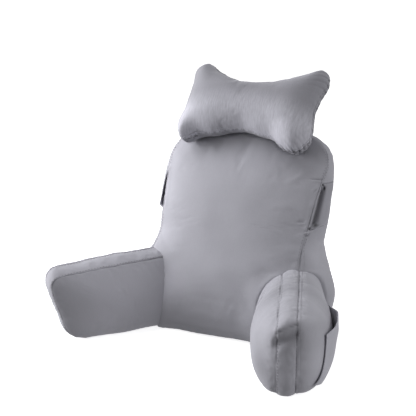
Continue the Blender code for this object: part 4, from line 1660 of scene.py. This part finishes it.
all_stitches = [stitches("backrest_stitches", backrest, list(back_rows()))]
for cover, arm in zip(arm_covers, arms):
    all_stitches.append(stitches("arm_" + arm["name"] + "_stitches", cover, list(arm_rows(arm))))
print("stitches", [len(piece.data.polygons) for piece in all_stitches], "faces")


# %% [markdown]
# ## The velvet
#
# Velvet is a pile of short fibres that stand up from the cloth. Light that grazes it is
# scattered back by their sides, so a velvet cover glows softly at its edges and never
# shows a sharp highlight. Principled has sheen for this. Brushing leaves some of the pile
# leaning one way and some the other, which shows as faint lighter and darker clouds and
# streaks, and these are mixed into the colour and the bump.

# %% A small language for shader maths
class Wire:
    """A shader socket that can be added, subtracted and multiplied."""

    def __init__(self, tree, socket):
        self.tree, self.socket = tree, socket

    def _math(self, operation, a, b):
        return node(self.tree, "ShaderNodeMath", {"operation": operation}, {0: a, 1: b})

    def __add__(self, other):
        return self._math("ADD", self, other)

    def __sub__(self, other):
        return self._math("SUBTRACT", self, other)

    def __rsub__(self, other):
        return self._math("SUBTRACT", other, self)

    def __mul__(self, other):
        return self._math("MULTIPLY", self, other)

    __radd__, __rmul__ = __add__, __mul__


def node(tree, kind, settings, inputs, output=0):
    """A node of any kind: its settings are set first, then each input gets a value or a
    link, and one output comes back as a Wire."""
    made = tree.nodes.new(kind)
    for key, value in settings.items():
        setattr(made, key, value)
    for key, value in inputs.items():
        if isinstance(value, Wire):
            tree.links.new(value.socket, made.inputs[key])
        else:
            made.inputs[key].default_value = value
    return Wire(tree, made.outputs[output])


def noise(tree, place, scale, detail):
    """A random pattern from -0.5 to 0.5: a noise less its middle value."""
    inputs = {"Vector": place, "Scale": scale, "Detail": detail}
    return node(tree, "ShaderNodeTexNoise", {}, inputs) - 0.5


def reading(tree, name):
    """The number that a mesh attribute holds at each point."""
    return node(tree, "ShaderNodeAttribute", {"attribute_name": name}, {}, "Fac")


def set_inputs(shader, values):
    """Sets a shader's own sockets."""
    for key, value in values.items():
        shader.inputs[key].default_value = value


# %% [markdown]
# All the finishes are one velvet with different numbers: its colour, and how strongly it
# is brushed. The colour is multiplied by a tone near 1, to which each pattern adds or
# takes a little. The seams' dark lines and the painted shade of creases, folds and slits
# take from it, and the patches of painted light and shade add to it or take from it.

# %% The velvet material
CLOUD_TONE = 0.16             # how much each pattern changes the colour
FLECK_TONE = 0.10
SHADE_TONE = 0.42


def velvet(name, colour, streaks, nap=0.0, nap_turn=0.0):
    """A velvet: its colour, how strong its streaks of brushing are everywhere and where the
    nap attribute is 1, and how far the streaks turn from upright. Its tone is darkened by
    the seams' dark lines and the painted shade that the mesh holds, and takes the painted
    light and shade of the patches."""
    material = bpy.data.materials.new(name)
    material.use_nodes = True
    tree = material.node_tree
    shader = tree.nodes["Principled BSDF"]
    place = node(tree, "ShaderNodeTexCoord", {}, {}, "Object")
    stretch = {"Vector": place, "Rotation": (nap_turn, 0, 0), "Scale": (1, 0.15, 0.15)}
    lengthwise = node(tree, "ShaderNodeMapping", {}, stretch)
    clouds = noise(tree, place, 11.0, 3.0)
    flecks = noise(tree, place, 420.0, 2.0)
    streak = noise(tree, lengthwise, 350.0, 3.0)
    brushing = streaks + nap * reading(tree, "nap")
    tone = 1.0 + CLOUD_TONE * clouds + FLECK_TONE * flecks + brushing * streak
    # the seams' dark lines and the painted shade, then the painted light and shade of the patches
    tone = tone - SHADE_TONE * reading(tree, "shade") + reading(tree, "brushed")
    tinted = node(tree, "ShaderNodeVectorMath", {"operation": "SCALE"}, {0: colour, "Scale": tone})
    tree.links.new(tinted.socket, shader.inputs["Base Color"])
    height = flecks * 0.5 + streak * (0.4 + 2.4 * brushing)
    relief = {"Strength": 0.35, "Distance": 0.0008, "Height": height}
    tree.links.new(node(tree, "ShaderNodeBump", {}, relief).socket, shader.inputs["Normal"])
    set_inputs(shader, {
        "Roughness": 0.9,
        "Specular IOR Level": 0.2,
        "Sheen Weight": 0.35,
        "Sheen Roughness": 0.45,
        "Sheen Tint": (0.93, 0.93, 1.0, 1.0),
    })
    return material


GREY = (0.335, 0.332, 0.370)
DEEPER_GREY = (0.318, 0.315, 0.352)
THREAD_GREY = (0.225, 0.225, 0.250)
plush = velvet("plush", GREY, 0.05)
pillow_plush = velvet("pillow_plush", DEEPER_GREY, 0.08, 0.60, -NECK_RECLINE)
pocket_cloth = velvet("pocket_cloth", DEEPER_GREY, 0.05)
thread = velvet("thread", THREAD_GREY, 0.0)
finishes = (
    (plush, [backrest, *arm_covers]),
    (pillow_plush, [neck_pillow]),
    (pocket_cloth, side_pockets + arm_pockets),
    (thread, all_stitches),
)
for material, pieces in finishes:
    for piece in pieces:
        piece.data.materials.append(material)
    print(material.name, "on", [piece.name for piece in pieces])


# %% [markdown]
# ## Floor and light
#
# The pillow stands on a plain white floor in a white studio. A large soft light from the
# left brightens the surfaces that face it and lets the others fall off slowly. Two weaker
# ones, from above and from the right, draw the rounded edges, and the white surroundings
# fill the shadows.

# %% Floor and light
LIGHTS = (                    # each one's name, azimuth, elevation and power
    ("key", -70, 12, 82),
    ("top", -66, 60, 30),
    ("rim", 100, 12, 24),
)
LIGHT_DISTANCE = 2.6
LIGHT_SIZE = 1.6
LIGHT_AIM = (0, 0, 0.3)
SURROUNDINGS = 0.36           # how bright the white surroundings are
FLOOR_RADIUS = 12.0
FLOOR_SWEEP = 6.0             # radius of the curve up into the wall
FLOOR_GLOW = 0.75
WALL_HEIGHT = 8


def soft_light(name, azimuth, elevation, power):
    """A square area light placed by its angles, at a fixed distance from the object."""
    light = new_object(name, bpy.data.lights.new(name, "AREA"))
    light.location = Vector(LIGHT_AIM) + LIGHT_DISTANCE * away(azimuth, elevation)
    light.data.size = LIGHT_SIZE
    light.data.energy = power
    aim(light, LIGHT_AIM)


def studio_floor():
    """A round floor that sweeps up into a wall: a flat disc, a quarter circle and a rise,
    turned about the upright axis."""
    turn = np.linspace(0, math.pi / 2, 16)
    disc = np.concatenate([[0, 1], np.linspace(2, FLOOR_RADIUS, 6)])
    radius = np.concatenate([disc, FLOOR_RADIUS + FLOOR_SWEEP * np.sin(turn[1:])])
    height = np.concatenate([np.zeros(len(disc)), FLOOR_SWEEP * (1 - np.cos(turn[1:]))])
    radius = np.append(radius, radius[-1])[:, None]
    height = np.append(height, height[-1] + WALL_HEIGHT)[:, None]
    angle = np.linspace(0, 2 * math.pi, 96, endpoint=False)
    across = [radius * np.cos(angle), radius * np.sin(angle), height + 0 * angle]
    points = np.stack(across, axis=-1)
    return mesh_from("floor", points, grid_quads(numbered(points.shape[:2]), wrap=True))


floor = studio_floor()
white = bpy.data.materials.new("floor_white")
white.use_nodes = True
set_inputs(white.node_tree.nodes["Principled BSDF"], {
    "Base Color": (0.9, 0.9, 0.9, 1),
    "Roughness": 1.0,
    "Emission Color": (1, 1, 1, 1),
    "Emission Strength": FLOOR_GLOW,
})
floor.data.materials.append(white)
floor.visible_diffuse = False
floor.visible_shadow = False
floor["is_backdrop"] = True

world = bpy.data.worlds.new("studio")
world.use_nodes = True
background = world.node_tree.nodes["Background"]
set_inputs(background, {"Color": (1, 1, 1, 1), "Strength": SURROUNDINGS})
bpy.context.scene.world = world
for light in LIGHTS:
    soft_light(*light)
print(len(LIGHTS), "lights, floor", FLOOR_RADIUS, "m")
bpy.context.scene.view_settings.view_transform = "Standard"


# %% [markdown]
# ## Handing over
#
# Every cover rides on the pillow's one body and stands for its imported solid, which is
# hidden.

# %% Put each piece in place of its solid
def hand_over(piece, node_name):
    """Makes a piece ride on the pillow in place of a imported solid."""
    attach(piece, "root")
    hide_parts(node_name)


hand_over(backrest, "backrest")
hand_over(neck_pillow, "neck_pillow")
for cover, arm in zip(arm_covers, arms):
    hand_over(cover, "arm_" + arm["name"])
for piece, side in zip(side_pockets, ("left", "right")):
    hand_over(piece, "side_pocket_" + side)
for piece, cover, arm in zip(arm_pockets, arm_covers, arms):
    hand_over(piece, "arm_pocket_" + arm["name"])

for piece in all_stitches:
    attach(piece, "root")
print("pieces handed over:", sum(len(pieces) for _, pieces in finishes))


# %% [markdown]
# The size of the plain solids and that of the finished pieces are printed, so that they
# can be compared.

# %% Print the sizes and finish
sizes = {"cad": [list(corner) for corner in cad_box], "visual": [list(corner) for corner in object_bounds()]}
print("sizes", {key: [round(b - a, 4) for a, b in zip(*value)] for key, value in sizes.items()})
